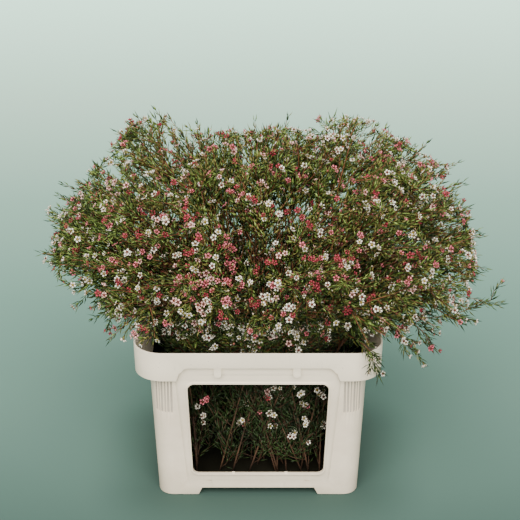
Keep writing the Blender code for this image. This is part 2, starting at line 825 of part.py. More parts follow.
def add_strays(cell, number, sites, path, draw, solids):
    """The long stray sprigs at the sides, each on the stem nearest to it."""
    for tip in STRAY_TIPS:
        tip = Vector(tip)
        a, b, _ = fan_inverse(tip)
        nearest = min(range(len(sites)), key=lambda i: math.dist(sites[i], (a, b)))
        if nearest != number:
            continue
        root = along(path, 0.93)
        ahead = (tip - root).normalized()
        points = [root, root.lerp(tip, 0.5) + Vector((0, 0, 0.006)), tip - ahead * 0.004]
        solids.append(flowering_twig(points, TWIG_RADIUS, ahead, draw))


def build_stem(number, sites, draw):
    cell = Cell(number, sites)
    top = stem_top(*cell.site)
    path = stem_path(cell, top, draw)
    steps = STEM_STEPS - 1
    radii = [STEM_RADIUS[0] + (STEM_RADIUS[1] - STEM_RADIUS[0]) * i / steps for i in range(STEM_STEPS)]
    name = f"stem_{number + 1:02d}"
    facing = flower_facing(path[-1], path[-1] - path[-2])
    stem = solid_object(name, flat_footed(flowering_twig(path, radii, facing, draw, leafy=False)))
    solids = [leafy_core(cell, path, top, draw)]
    add_twigs(cell, path, top, draw, solids)
    add_low_twigs(cell, path, top, draw, solids)
    add_strays(cell, number, sites, path, draw, solids)
    add_needles(cell, path, top, draw, solids)
    apply_result(stem, solids, "UNION")
    keep_largest_body(stem)
    tint = LEAF_TINTS[number % len(LEAF_TINTS)]
    color = tuple(tint * channel for channel in LEAF_GREEN)
    stem.data.materials.clear()
    stem.data.materials.append(make_material(f"waxflower_{number + 1:02d}", color, LEAF_ROUGHNESS))
    return stem


def flat_footed(solid):
    """Cuts the stem's foot level, so that it stands on the bucket's floor."""
    points, faces = solid
    points = [Vector((p.x, p.y, STEM_FOOT)) if i < 3 else p for i, p in enumerate(points)]
    return points, faces


def main():
    clear_scene()
    draw = random.Random(SEED)
    build_bucket()
    sites = stem_sites(draw)
    for number in range(len(sites)):
        build_stem(number, sites, draw)


main()
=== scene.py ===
# %% [markdown]
# # A flower bucket full of waxflower
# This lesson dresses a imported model: a cream plastic flower bucket with a window, and the leafy
# flowering stems that stand in it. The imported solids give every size. The bucket is modelled
# again with soft edges, and the bush is grown by formula, twig by twig, because nobody could
# place thousands of needles and flowers by hand. Every random draw has a seed, so each run grows
# the same bush.

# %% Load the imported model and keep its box
import json
import math
import random

import bmesh
import bpy
import numpy as np
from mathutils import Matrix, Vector

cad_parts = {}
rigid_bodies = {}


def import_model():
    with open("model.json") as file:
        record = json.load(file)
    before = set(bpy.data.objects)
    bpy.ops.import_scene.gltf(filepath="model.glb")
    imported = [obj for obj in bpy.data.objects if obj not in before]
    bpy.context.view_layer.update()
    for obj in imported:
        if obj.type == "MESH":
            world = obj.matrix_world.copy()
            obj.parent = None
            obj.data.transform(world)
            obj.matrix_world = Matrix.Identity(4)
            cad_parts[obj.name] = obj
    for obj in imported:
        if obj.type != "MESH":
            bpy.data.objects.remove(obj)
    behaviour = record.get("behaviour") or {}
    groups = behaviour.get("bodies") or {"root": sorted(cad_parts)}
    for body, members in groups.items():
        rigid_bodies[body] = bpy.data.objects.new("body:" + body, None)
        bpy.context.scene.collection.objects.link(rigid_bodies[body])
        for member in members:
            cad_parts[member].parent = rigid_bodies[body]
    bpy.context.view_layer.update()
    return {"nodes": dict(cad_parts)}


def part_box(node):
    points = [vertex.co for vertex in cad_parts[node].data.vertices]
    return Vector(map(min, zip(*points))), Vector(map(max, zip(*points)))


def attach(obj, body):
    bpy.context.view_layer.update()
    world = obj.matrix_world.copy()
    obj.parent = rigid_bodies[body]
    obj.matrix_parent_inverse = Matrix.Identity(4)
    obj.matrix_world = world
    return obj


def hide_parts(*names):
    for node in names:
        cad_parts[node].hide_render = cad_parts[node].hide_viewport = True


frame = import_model()
BUCKET_LOW, BUCKET_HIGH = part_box("bucket")
STEM_NODES = sorted(name for name in frame["nodes"] if name.startswith("stem_"))
print("bucket box", BUCKET_LOW, BUCKET_HIGH, "stems", len(STEM_NODES))

# %% [markdown]
# ## Camera
# A product photographer stands a little above the rim and far back with a long lens, so that the
# upright lines stay nearly parallel. A nearer camera with a short lens would show the same width,
# but the bucket's sides would run together towards its foot. The pitch follows from how open the
# rim's oval looks, and the distance from how little the bucket narrows below.

# %% Camera
CAMERA_PLACE = (0.003, -2.298, 1.4485)
CAMERA_PITCH = math.radians(25)
CAMERA_LENS = 107.5
SENSOR_WIDTH = 36
camera_data = bpy.data.cameras.new("camera")
camera_data.lens = CAMERA_LENS
camera_data.sensor_width = SENSOR_WIDTH
camera = bpy.data.objects.new("camera", camera_data)
camera.location = CAMERA_PLACE
camera.rotation_euler = (math.radians(90) - CAMERA_PITCH, 0, 0)
bpy.context.scene.collection.objects.link(camera)
bpy.context.scene.camera = camera
print("camera", CAMERA_PLACE, "lens", CAMERA_LENS)

# %% [markdown]
# ## Materials, and the small tools that build them
# Every surface here is a Principled shader fed by procedural patterns, so nothing needs a picture
# or unwrapping. The nodes could be set up by hand in the editor. Short helpers are quicker to
# read and to repeat: one adds a node, one makes the shader, one starts a shared group and one
# places it in a material.


# %% Material helpers
def add_node(tree, kind, **values):
    node = tree.nodes.new(kind)
    for key, value in values.items():
        setattr(node, key, value)
    return node


def new_material(name, roughness=0.5):
    material = bpy.data.materials.new(name)
    material.use_nodes = True
    tree = material.node_tree
    shader = tree.nodes["Principled BSDF"]
    shader.inputs["Roughness"].default_value = roughness
    return material, tree, shader


def use_group(tree, group, **values):
    """Places a shared group. Its inputs are named with _ for each space."""
    node = add_node(tree, "ShaderNodeGroup", node_tree=group)
    for key, value in values.items():
        node.inputs[key.replace("_", " ")].default_value = value
    return node


SOCKET_KINDS = {"color": "NodeSocketColor", "float": "NodeSocketFloat", "vector": "NodeSocketVector"}


def new_group(name, inputs, outputs):
    """A shared group with named sockets. Returns it with its input node and its output node."""
    group = bpy.data.node_groups.new(name, "ShaderNodeTree")
    for label, kind, default in inputs:
        socket = group.interface.new_socket(label, in_out="INPUT", socket_type=SOCKET_KINDS[kind])
        socket.default_value = default
    for label, kind in outputs:
        group.interface.new_socket(label, in_out="OUTPUT", socket_type=SOCKET_KINDS[kind])
    return group, add_node(group, "NodeGroupInput"), add_node(group, "NodeGroupOutput")


print("kinds of group sockets", sorted(SOCKET_KINDS))

# %% [markdown]
# ## A shared pattern: mottle
# Leaves, bark, petals and plastic all change a little in tone from place to place. One noise would
# look like clouds of a single size. This group mixes two colours by two layers of noise, one
# broad and one fine, and each material gives it its own colours and scales. It works on object
# coordinates, so it needs no unwrapping.


# %% Mottle group
NOISE_DETAIL = 3.0


def build_mottle_group():
    inputs = (
        ("Dark", "color", (0, 0, 0, 1)),
        ("Light", "color", (1, 1, 1, 1)),
        ("Broad Scale", "float", 10.0),
        ("Fine Scale", "float", 200.0),
        ("Contrast", "float", 1.5),
    )
    group, inside, outside = new_group("mottle", inputs, (("Color", "color"), ("Mask", "float")))
    place = add_node(group, "ShaderNodeTexCoord")
    broad = add_node(group, "ShaderNodeTexNoise")
    fine = add_node(group, "ShaderNodeTexNoise")
    link = group.links.new
    for noise, name in ((broad, "Broad Scale"), (fine, "Fine Scale")):
        noise.inputs["Detail"].default_value = NOISE_DETAIL
        link(place.outputs["Object"], noise.inputs["Vector"])
        link(inside.outputs[name], noise.inputs["Scale"])
    total = add_node(group, "ShaderNodeMath", operation="ADD")
    link(broad.outputs["Fac"], total.inputs[0])
    link(fine.outputs["Fac"], total.inputs[1])
    centre = add_node(group, "ShaderNodeMath", operation="SUBTRACT")
    link(total.outputs[0], centre.inputs[0])
    centre.inputs[1].default_value = 1.0
    stretch = add_node(group, "ShaderNodeMath", operation="MULTIPLY_ADD", use_clamp=True)
    link(centre.outputs[0], stretch.inputs[0])
    link(inside.outputs["Contrast"], stretch.inputs[1])
    stretch.inputs[2].default_value = 0.5
    blend = add_node(group, "ShaderNodeMix", data_type="RGBA")
    link(stretch.outputs[0], blend.inputs["Factor"])
    link(inside.outputs["Dark"], blend.inputs[6])
    link(inside.outputs["Light"], blend.inputs[7])
    link(blend.outputs[2], outside.inputs["Color"])
    link(stretch.outputs[0], outside.inputs["Mask"])
    return group


MOTTLE = build_mottle_group()
print("shared group", MOTTLE.name)

# %% [markdown]
# ## A second shared pattern: grime
# Scuffs and dust lie in a few marks, not all over. They could be painted by hand, but a mask made
# from noise never repeats and holds up close. This group stretches a noise along a direction and
# cuts it at a threshold. The bucket uses it twice, for upright scuffs and for specks of dust.


# %% Grime group
def build_grime_group():
    inputs = (
        ("Stretch", "vector", (1, 1, 1)),
        ("Scale", "float", 30.0),
        ("Threshold", "float", 0.6),
        ("Softness", "float", 0.1),
    )
    group, inside, outside = new_group("grime", inputs, (("Mask", "float"),))
    place = add_node(group, "ShaderNodeTexCoord")
    scaled = add_node(group, "ShaderNodeVectorMath", operation="MULTIPLY")
    noise = add_node(group, "ShaderNodeTexNoise")
    noise.inputs["Detail"].default_value = NOISE_DETAIL + 1
    over = add_node(group, "ShaderNodeMath", operation="SUBTRACT")
    share = add_node(group, "ShaderNodeMath", operation="DIVIDE", use_clamp=True)
    link = group.links.new
    link(place.outputs["Object"], scaled.inputs[0])
    link(inside.outputs["Stretch"], scaled.inputs[1])
    link(scaled.outputs[0], noise.inputs["Vector"])
    link(inside.outputs["Scale"], noise.inputs["Scale"])
    link(noise.outputs["Fac"], over.inputs[0])
    link(inside.outputs["Threshold"], over.inputs[1])
    link(over.outputs[0], share.inputs[0])
    link(inside.outputs["Softness"], share.inputs[1])
    link(share.outputs[0], outside.inputs["Mask"])
    return group


GRIME = build_grime_group()
print("shared group", GRIME.name)

# %% [markdown]
# ## Two small groups: tint and grain
# Dust, scuffs and a painted light that makes the rim pale all lie over the plastic's own colour, and
# all moulded plastic has a fine grain. The same few nodes could be set up again for each layer and
# finish. As groups they are built once: tint lays a colour over another by a mask and a strength,
# and grain puts out a height for a Bump node.


# %% Tint and grain groups
def build_tint_group():
    inputs = (
        ("Color", "color", (1, 1, 1, 1)),
        ("Mask", "float", 0.0),
        ("Tint", "color", (0, 0, 0, 1)),
        ("Strength", "float", 1.0),
    )
    group, inside, outside = new_group("tint", inputs, (("Color", "color"),))
    weight = add_node(group, "ShaderNodeMath", operation="MULTIPLY")
    blend = add_node(group, "ShaderNodeMix", data_type="RGBA")
    link = group.links.new
    link(inside.outputs["Mask"], weight.inputs[0])
    link(inside.outputs["Strength"], weight.inputs[1])
    link(weight.outputs[0], blend.inputs["Factor"])
    link(inside.outputs["Color"], blend.inputs[6])
    link(inside.outputs["Tint"], blend.inputs[7])
    link(blend.outputs[2], outside.inputs["Color"])
    return group


def build_grain_group():
    group, inside, outside = new_group("grain", (("Scale", "float", 900.0),), (("Height", "float"),))
    place = add_node(group, "ShaderNodeTexCoord")
    noise = add_node(group, "ShaderNodeTexNoise")
    group.links.new(place.outputs["Object"], noise.inputs["Vector"])
    group.links.new(inside.outputs["Scale"], noise.inputs["Scale"])
    group.links.new(noise.outputs["Fac"], outside.inputs["Height"])
    return group


TINT = build_tint_group()
GRAIN = build_grain_group()
print("shared groups", TINT.name, GRAIN.name)

# %% [markdown]
# ## Floor and lights
# The bucket stands on a sage paper plane whose colour holds painted light. A ramp of six tones, dark
# near the front and pale far away, paints the fall-off of light across a studio sweep, and the tone
# at 0.20 is a painted lift where the bush's shadow falls. A curved backdrop could be modelled, but a
# large plane with the ramp looks the same from the front and stays out of the way from other sides.
# A painted contact shadow darkens the paper close round the bucket's foot. Two suns with a very wide
# disc give soft light of the same strength everywhere, as a wall of softboxes does, and the world
# fills the shadows.

# %% Floor
# sage paper tones by distance y: painted light fall-off from dark near to pale far, with a painted lift at
# 0.20
SAGE_AND_PAINTED_FALLOFF = (
    (-0.22, (0.058, 0.109, 0.090)),
    (0.20, (0.108, 0.196, 0.160)),
    (0.60, (0.138, 0.254, 0.206)),
    (1.15, (0.216, 0.358, 0.293)),
    (1.88, (0.385, 0.575, 0.470)),
    (2.90, (0.600, 0.940, 0.770)),
)
SQUARE = ((-1, -1), (1, -1), (1, 1), (-1, 1))
FLOOR_HALF = 9.0
FLOOR_GAP = 0.0002
FLOOR_ROUGHNESS = 0.85
FLOOR_SPECULAR = 0.2
# a painted contact shadow round the foot: the footprint's half size, its reach and its darkest factor
FOOT_SHADE_HALF = (0.145, 0.095, 0.0)
FOOT_SHADE_REACH = 0.16
FOOT_SHADE = 0.52


def foot_shade(tree, place):
    """A painted contact shadow: a factor that rises to 1 with the distance from the bucket's footprint."""
    away = add_node(tree, "ShaderNodeVectorMath", operation="ABSOLUTE")
    over = add_node(tree, "ShaderNodeVectorMath", operation="SUBTRACT")
    over.inputs[1].default_value = FOOT_SHADE_HALF
    held = add_node(tree, "ShaderNodeVectorMath", operation="MAXIMUM")
    held.inputs[1].default_value = (0, 0, 0)
    length = add_node(tree, "ShaderNodeVectorMath", operation="LENGTH")
    rise = add_node(tree, "ShaderNodeMapRange", interpolation_type="SMOOTHSTEP")
    rise.inputs["From Max"].default_value = FOOT_SHADE_REACH
    rise.inputs["To Min"].default_value = FOOT_SHADE
    link = tree.links.new
    link(place.outputs["Object"], away.inputs[0])
    link(away.outputs[0], over.inputs[0])
    link(over.outputs[0], held.inputs[0])
    link(held.outputs[0], length.inputs[0])
    link(length.outputs["Value"], rise.inputs["Value"])
    return rise.outputs[0]


def build_floor():
    mesh = bpy.data.meshes.new("floor")
    corners = [(sx * FLOOR_HALF, sy * FLOOR_HALF, -FLOOR_GAP) for sx, sy in SQUARE]
    mesh.from_pydata(corners, [], [(0, 1, 2, 3)])
    floor = bpy.data.objects.new("floor", mesh)
    bpy.context.scene.collection.objects.link(floor)
    material, tree, shader = new_material("sage_sweep_painted_falloff", FLOOR_ROUGHNESS)
    place = add_node(tree, "ShaderNodeTexCoord")
    split = add_node(tree, "ShaderNodeSeparateXYZ")
    spread = add_node(tree, "ShaderNodeMapRange")
    first, last = SAGE_AND_PAINTED_FALLOFF[0][0], SAGE_AND_PAINTED_FALLOFF[-1][0]
    spread.inputs["From Min"].default_value = first
    spread.inputs["From Max"].default_value = last
    ramp = add_node(tree, "ShaderNodeValToRGB")
    stops = ramp.color_ramp.elements
    for number, (distance, tone) in enumerate(SAGE_AND_PAINTED_FALLOFF):
        place_on_ramp = (distance - first) / (last - first)
        if number == 0:
            stop = stops[0]
        elif number == len(SAGE_AND_PAINTED_FALLOFF) - 1:
            stop = stops[-1]
        else:
            stop = stops.new(place_on_ramp)
        stop.position = place_on_ramp
        stop.color = (*tone, 1)
    tree.links.new(place.outputs["Object"], split.inputs[0])
    tree.links.new(split.outputs["Y"], spread.inputs["Value"])
    tree.links.new(spread.outputs[0], ramp.inputs["Fac"])
    # the ramp times the painted contact shadow
    shade = add_node(tree, "ShaderNodeMix", data_type="RGBA", blend_type="MULTIPLY")
    shade.inputs["Factor"].default_value = 1.0
    tree.links.new(ramp.outputs["Color"], shade.inputs[6])
    tree.links.new(foot_shade(tree, place), shade.inputs[7])
    tree.links.new(shade.outputs[2], shader.inputs["Base Color"])
    shader.inputs["Specular IOR Level"].default_value = FLOOR_SPECULAR
    mesh.materials.append(material)
    return floor


print("floor", build_floor().name, "tones", len(SAGE_AND_PAINTED_FALLOFF))


# %% Lights
WORLD_COLOR = (0.90, 0.95, 0.94, 1)
WORLD_STRENGTH = 0.64


def soft_sun(name, source, spread, power, color):
    """A sun that shines from source towards the origin, with a disc spread degrees wide."""
    data = bpy.data.lights.new(name, "SUN")
    data.angle = math.radians(spread)
    data.energy = power
    data.color = color
    lamp = bpy.data.objects.new(name, data)
    lamp.rotation_euler = (-Vector(source)).to_track_quat("-Z", "Y").to_euler()
    bpy.context.scene.collection.objects.link(lamp)
    return lamp


soft_sun("key", (-0.10, -1.0, 1.0), 60, 7.5, (1.0, 0.965, 0.915))
soft_sun("fill", (0.6, -1.0, 0.4), 60, 0.7, (0.99, 0.99, 0.98))
world = bpy.data.worlds.new("studio")
world.use_nodes = True
background = world.node_tree.nodes["Background"]
background.inputs["Color"].default_value = WORLD_COLOR
background.inputs["Strength"].default_value = WORLD_STRENGTH
bpy.context.scene.world = world

# %% [markdown]
# ## The bucket's sizes
# The bucket is one moulding with a 3 mm wall. Its rim turns over into a deep skirt, and its body
# tapers so that empty buckets nest. Every size is a named number in metres, because the shell, its
# cutters and the test that keeps leaves out of the wall all share them. They repeat those of the
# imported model, and the rim is read from its box, so that the finer moulding lands exactly on it.

# %% Bucket sizes
HEIGHT = BUCKET_HIGH[2]
RIM_HALF = (BUCKET_HIGH[0], BUCKET_HIGH[1])
WALL = 0.003
RIM_RADIUS = 0.047
SKIRT_BOTTOM = 0.228
SKIRT_DRAFT = 0.0013
FOOT_HALF = (0.1654, 0.1165)
BODY_DRAFT = (0.0443, 0.0405)
FOOT_RADIUS = 0.025
SHOULDER_RADIUS = 0.034
SHOULDER_HEIGHT = 0.236
FLOOR_TOP = 0.017
FLOOR_BOTTOM = 0.014
CORNER_STEPS = 14
PANEL_PROUD = 0.003
ARCH_TOP = 0.252
WINDOW_BOTTOM = 0.0435
WINDOW_TOP = 0.2176
WINDOW_HALF = (0.1078, 0.1136)
WINDOW_RADIUS = 0.0110
TAB_X = (-0.0645, 0.0618)
TAB_HALF = 0.006
TAB_BOTTOM = 0.234
TAB_FACE = 0.1386
print("bucket", RIM_HALF, HEIGHT)

# %% [markdown]
# ## Lofted rings
# Most of the bucket is a stack of rounded rectangles. It could be a box with bevelled corners, but
# the corner radius grows with height, and a loft follows that exactly: it joins rings point by
# point and closes both ends. The same routine makes the prisms that cut the window and the feet.


# %% Loft, rings and prisms
def loft(rings):
    count = len(rings[0])
    points = [p for ring in rings for p in ring]
    faces = []
    for level in range(len(rings) - 1):
        low = level * count
        for i in range(count):
            j = (i + 1) % count
            faces.append((low + i, low + j, low + count + j, low + count + i))
    faces.append(tuple(range(count))[::-1])
    faces.append(tuple(range(len(points) - count, len(points))))
    return points, faces


def rounded_ring(half_x, half_y, radius, z):
    points = []
    for corner, (sign_x, sign_y) in enumerate(((1, 1), (-1, 1), (-1, -1), (1, -1))):
        for step in range(CORNER_STEPS + 1):
            angle = math.radians(90 * (corner + step / CORNER_STEPS))
            x = sign_x * (half_x - radius) + radius * math.cos(angle)
            y = sign_y * (half_y - radius) + radius * math.sin(angle)
            points.append((x, y, z))
    return points


def prism(outline, near, far):
    return loft([[(x, near(x, z), z) for x, z in outline], [(x, far(x, z), z) for x, z in outline]])


def block(x0, x1, y0, y1, z0, z1):
    return loft([[(x0, y0, z), (x1, y0, z), (x1, y1, z), (x0, y1, z)] for z in (z0, z1)])


def body_half(axis, z):
    return FOOT_HALF[axis] + BODY_DRAFT[axis] * z


def body_radius(z):
    return FOOT_RADIUS + (SHOULDER_RADIUS - FOOT_RADIUS) * min(z / SHOULDER_HEIGHT, 1.0)


def body_ring(z, inset=0.0):
    radius = body_radius(z) - inset
    return rounded_ring(body_half(0, z) - inset, body_half(1, z) - inset, radius, z)


def rim_ring(inset, z):
    return rounded_ring(RIM_HALF[0] - inset, RIM_HALF[1] - inset, RIM_RADIUS - inset, z)


print("points in a ring", len(body_ring(0.0)))

# %% [markdown]
# ## The shell
# The wall is thin and turns over at the rim, where a Solidify modifier would pinch. So the profile
# is drawn in section, ring by ring: up the body, down the inner face of the skirt, round its
# edge, up its outer face, over the half-round lip and down inside to the floor. The lowest rings
# give each bottom edge a small radius, because moulded plastic has no sharp edge.


# %% Bucket shell
def bucket_shell():
    lip = 0.0016
    rings = [body_ring(0.0, inset=0.0016), body_ring(0.0005, inset=0.0005), body_ring(0.0018)]
    rings += [body_ring(z) for z in (0.06, 0.12, 0.18, SHOULDER_HEIGHT)]
    rings += [rim_ring(0.0085, HEIGHT - 0.0090), rim_ring(WALL, HEIGHT - 0.0070)]
    rings += [rim_ring(WALL + SKIRT_DRAFT, SKIRT_BOTTOM + 0.0005)]
    for step in range(1, 4):
        angle = math.pi * step / 4
        inset = SKIRT_DRAFT + WALL / 2 + WALL / 2 * math.cos(angle)
        rings.append(rim_ring(inset, SKIRT_BOTTOM + 0.0005 - 0.0005 * math.sin(angle)))
    rings.append(rim_ring(SKIRT_DRAFT, SKIRT_BOTTOM + 0.0005))
    rings.append(rim_ring(0.0, HEIGHT - lip))
    for step in range(1, 6):
        angle = math.pi * step / 6
        rings.append(rim_ring(lip - lip * math.cos(angle), HEIGHT - lip + lip * math.sin(angle)))
    rings += [rim_ring(0.0080, HEIGHT - 0.0056), rim_ring(0.0100, HEIGHT - 0.0085)]
    rings += [body_ring(SHOULDER_HEIGHT, inset=WALL), body_ring(FLOOR_TOP + 0.004, inset=WALL)]
    rings += [body_ring(FLOOR_TOP, inset=WALL + 0.004)]
    return loft(rings)


print("faces in the shell", len(bucket_shell()[1]))

# %% [markdown]
# ## Panel, arch, tabs and window
# A raised panel stiffens the long sides and fades into the wall near the feet. The skirt is cut up
# in an arch over it, two tabs hang under the arch, and the window has a proud bead all round. All
# this could be pulled out of one subdivided mesh. Small overlapping solids are easier to measure
# and to change, and a Boolean adds each to the shell or cuts it out.


# %% Bucket details as solids
PANEL_FADE = (0.016, 0.052)
PANEL_RISE = (0.200, 0.262)
PANEL_RISE_PROUD = 0.0018
PANEL_HALF = (0.1120, 0.0830)
BEAD_STEPS = ((0.0038, -0.0045), (0.0036, 0.0004), (0.0028, 0.0013), (0.0015, 0.0015))


def eased(z, low, high):
    share = min(max((z - low) / (high - low), 0), 1)
    return share * share * (3 - 2 * share)


def panel_proud(z):
    """How far the panel stands out: it fades into the wall below and swells under the arch."""
    return PANEL_PROUD * eased(z, *PANEL_FADE) + PANEL_RISE_PROUD * eased(z, *PANEL_RISE) - 0.0001


def panel_stations():
    heights = [PANEL_FADE[0] + 0.003 * step for step in range(13)]
    heights += [PANEL_RISE[0] + 0.00475 * step for step in range(13)]
    return [(z, PANEL_HALF[0] + PANEL_HALF[1] * z, panel_proud(z)) for z in heights]


def panel_pad(side):
    edge = 0.0045
    rings = []
    for z, half, proud in panel_stations():
        wall = body_half(1, z)
        root, mid, face = (side * (wall + d) for d in (-WALL / 2, proud * 0.72, proud))
        rings.append(
            [
                (-half - edge, root, z),
                (half + edge, root, z),
                (half + edge * 0.25, mid, z),
                (half - edge * 0.5, face, z),
                (-half + edge * 0.5, face, z),
                (-half - edge * 0.25, mid, z),
            ]
        )
    return loft(rings)


def skirt_arch(side):
    low, top, bend = SKIRT_BOTTOM - 0.002, ARCH_TOP, 0.010
    right = [(0.1318, low), (0.1262, top - bend)]
    for step in range(1, 5):
        angle = math.radians(90 * step / 5)
        right.append((0.1205 - bend + bend * math.cos(angle) * 1.2, top - bend * (1 - math.sin(angle))))
    right.append((0.1205 - bend, top))
    outline = right + [(-x, z) for x, z in reversed(right)]
    inner = side * (RIM_HALF[1] - WALL - SKIRT_DRAFT - 0.001)
    outer = side * (RIM_HALF[1] + 0.01)
    return prism(outline, lambda x, z: inner, lambda x, z: outer)


def window_outline(grow, steps=8):
    radius = WINDOW_RADIUS + grow
    low, high = WINDOW_BOTTOM - grow, WINDOW_TOP + grow
    points = []
    for sign, level, quarter in ((1, high, 0), (-1, high, 1), (-1, low, 2), (1, low, 3)):
        half = WINDOW_HALF[1 if level == high else 0] + grow
        middle_z = level - radius if level == high else level + radius
        for step in range(steps + 1):
            angle = math.radians(90 * (quarter + step / steps))
            x = sign * (half - radius) + radius * math.cos(angle)
            points.append((x, middle_z + radius * math.sin(angle)))
    return points


def window_bead():
    rings = []
    for grow, proud in BEAD_STEPS:
        ring = []
        for x, z in window_outline(grow):
            ring.append((x, -(body_half(1, z) + max(panel_proud(z), 0.002) + proud), z))
        rings.append(ring)
    return loft(rings)


def tab(x, side):
    half, steps = TAB_HALF, 8
    outline = [(x + half, ARCH_TOP + 0.002), (x - half, ARCH_TOP + 0.002)]
    for step in range(steps + 1):
        angle = math.radians(180 + 180 * step / steps)
        outline.append((x + half * math.cos(angle), TAB_BOTTOM + half * (1 + math.sin(angle))))
    root = side * body_half(1, SHOULDER_HEIGHT)
    return prism(outline, lambda x, z: root, lambda x, z: side * TAB_FACE)


print("panel stations", len(panel_stations()), "window corners", len(window_outline(0.0)))

# %% [markdown]
# ## Flutes, slits and feet
# Six shallow grooves on each corner give grip. A bump map could fake them, but they reach the
# outline of the corner and hold real shade, so they are cut. Each cutter stands square to the
# rounded corner, so the grooves fan round it. Under the floor, two channels leave four feet.


# %% Bucket cutters
FLUTE_PITCH = 0.0054
FLUTE_HALF = 0.0019
FLUTE_DEPTH = 0.0013
FLUTE_ENDS = ((0.161, 0.0008), (0.163, FLUTE_DEPTH), (0.218, FLUTE_DEPTH), (0.220, 0.0008))


def corner_point(distance, z):
    radius = body_radius(z)
    start = body_half(0, z) - radius
    along = 0.137 + distance - start
    if along <= 0:
        return Vector((start + along, -body_half(1, z), z)), Vector((0, -1, 0))
    angle = along / radius
    normal = Vector((math.sin(angle), -math.cos(angle), 0))
    return Vector((start, -body_half(1, z) + radius, z)) + radius * normal, normal


def flute(number, sign_x, sign_y):
    rings = []
    for z, depth in FLUTE_ENDS:
        point, normal = corner_point((number + 0.5) * FLUTE_PITCH, z)
        across = Vector((-normal.y, normal.x, 0)) * FLUTE_HALF
        deep, high = point - normal * depth, point + normal * 0.003
        ring = [deep - across * 0.7, deep + across * 0.7, high + across * 1.3, high - across * 1.3]
        rings.append([(sign_x * p.x, -sign_y * p.y, p.z) for p in ring])
    return loft(rings)


def foot_gaps():
    slope = 0.0065 / FLOOR_BOTTOM
    front = [(-0.0995 - slope * 0.01, -0.01), (0.0995 + slope * 0.01, -0.01)]
    front += [(0.093, FLOOR_BOTTOM), (-0.093, FLOOR_BOTTOM)]
    channel = prism(front, lambda x, z: -0.25, lambda x, z: 0.25)
    return [channel, block(-0.25, 0.25, -0.058, 0.058, -0.01, FLOOR_BOTTOM - 0.001)]


print("first flute starts at", corner_point(FLUTE_PITCH / 2, 0.2)[0])

# %% [markdown]
# ## Joining the bucket
# A Boolean modifier can take a whole collection of solids at once. The exact solver is slower than
# the fast one, but it copes with faces that nearly touch. A narrow bevel then softens every edge
# that the cuts left sharp, and catches the thin lines of light that moulded plastic shows.


# %% Join the bucket
SLIT_X = (-0.08, 0.08)
NIB_X = (-0.041, 0.046)
EDGE_WIDTH = 0.0005
SHARP_ANGLE = math.radians(34)


def solid_object(name, solid):
    points, faces = solid
    mesh = bpy.data.meshes.new(name)
    mesh.from_pydata([tuple(p) for p in points], [], faces)
    work = bmesh.new()
    work.from_mesh(mesh)
    bmesh.ops.recalc_face_normals(work, faces=work.faces)
    work.to_mesh(mesh)
    work.free()
    item = bpy.data.objects.new(name, mesh)
    bpy.context.scene.collection.objects.link(item)
    return item


def apply_modifiers(item):
    bpy.context.view_layer.update()
    evaluated = item.evaluated_get(bpy.context.evaluated_depsgraph_get())
    mesh = bpy.data.meshes.new_from_object(evaluated)
    item.modifiers.clear()
    item.data = mesh


def combine(base, solids, operation):
    helpers = bpy.data.collections.new("helpers")
    bpy.context.scene.collection.children.link(helpers)
    for number, solid in enumerate(solids):
        helper = solid_object(f"helper_{number}", solid)
        bpy.context.scene.collection.objects.unlink(helper)
        helpers.objects.link(helper)
    modifier = base.modifiers.new("combine", "BOOLEAN")
    modifier.operation = operation
    modifier.operand_type = "COLLECTION"
    modifier.collection = helpers
    modifier.solver = "EXACT"
    apply_modifiers(base)
    for helper in list(helpers.objects):
        bpy.data.objects.remove(helper, do_unlink=True)
    bpy.data.collections.remove(helpers)


def build_bucket():
    bucket = solid_object("bucket_moulding", bucket_shell())
    combine(bucket, [skirt_arch(side) for side in (-1, 1)], "DIFFERENCE")
    added = [panel_pad(side) for side in (-1, 1)] + [window_bead()]
    added += [tab(x, side) for x in TAB_X for side in (-1, 1)]
    combine(bucket, added, "UNION")
    opening = prism(window_outline(0.0), lambda x, z: -0.160, lambda x, z: -0.100)
    cut = [opening] + foot_gaps()
    cut += [block(x - 0.0035, x + 0.0035, -0.14, -0.10, 0.028, 0.0295) for x in SLIT_X]
    cut += [flute(n, sx, sy) for n in range(6) for sx in (-1, 1) for sy in (-1, 1)]
    combine(bucket, cut, "DIFFERENCE")
    nibs = []
    for x in NIB_X:
        y = -(body_half(1, WINDOW_BOTTOM) + 0.001)
        top = WINDOW_BOTTOM + 0.0016
        nibs.append(block(x - 0.0025, x + 0.0025, y, y + 0.003, WINDOW_BOTTOM - 0.002, top))
    combine(bucket, nibs, "UNION")
    bevel = bucket.modifiers.new("soft edges", "BEVEL")
    bevel.width = EDGE_WIDTH
    bevel.segments = 2
    bevel.limit_method = "ANGLE"
    bevel.angle_limit = math.radians(40)
    apply_modifiers(bucket)
    bucket.data.shade_smooth()
    bucket.data.set_sharp_from_angle(angle=SHARP_ANGLE)
    return bucket


bucket = build_bucket()
print("bucket faces", len(bucket.data.polygons))

# %% [markdown]
# ## Cream plastic
# The plastic is a warm cream with faint clouding from the mould, fine dust and scuffs, and a painted
# light makes it palest at the rim, where the bush above shades it. One flat cream would look like a
# toy. The same recipe with other values makes three more finishes: the dusty lip, the darker grey
# flutes, and the near-black inside, which is painted shade.


# %% Plastic finish
def layered(tree, color, mask, tint, strength):
    """Lays a tint over a colour by a mask and a strength, and returns the new colour."""
    layer = use_group(tree, TINT, Tint=(*tint, 1), Strength=strength)
    tree.links.new(color, layer.inputs["Color"])
    tree.links.new(mask, layer.inputs["Mask"])
    return layer.outputs["Color"]


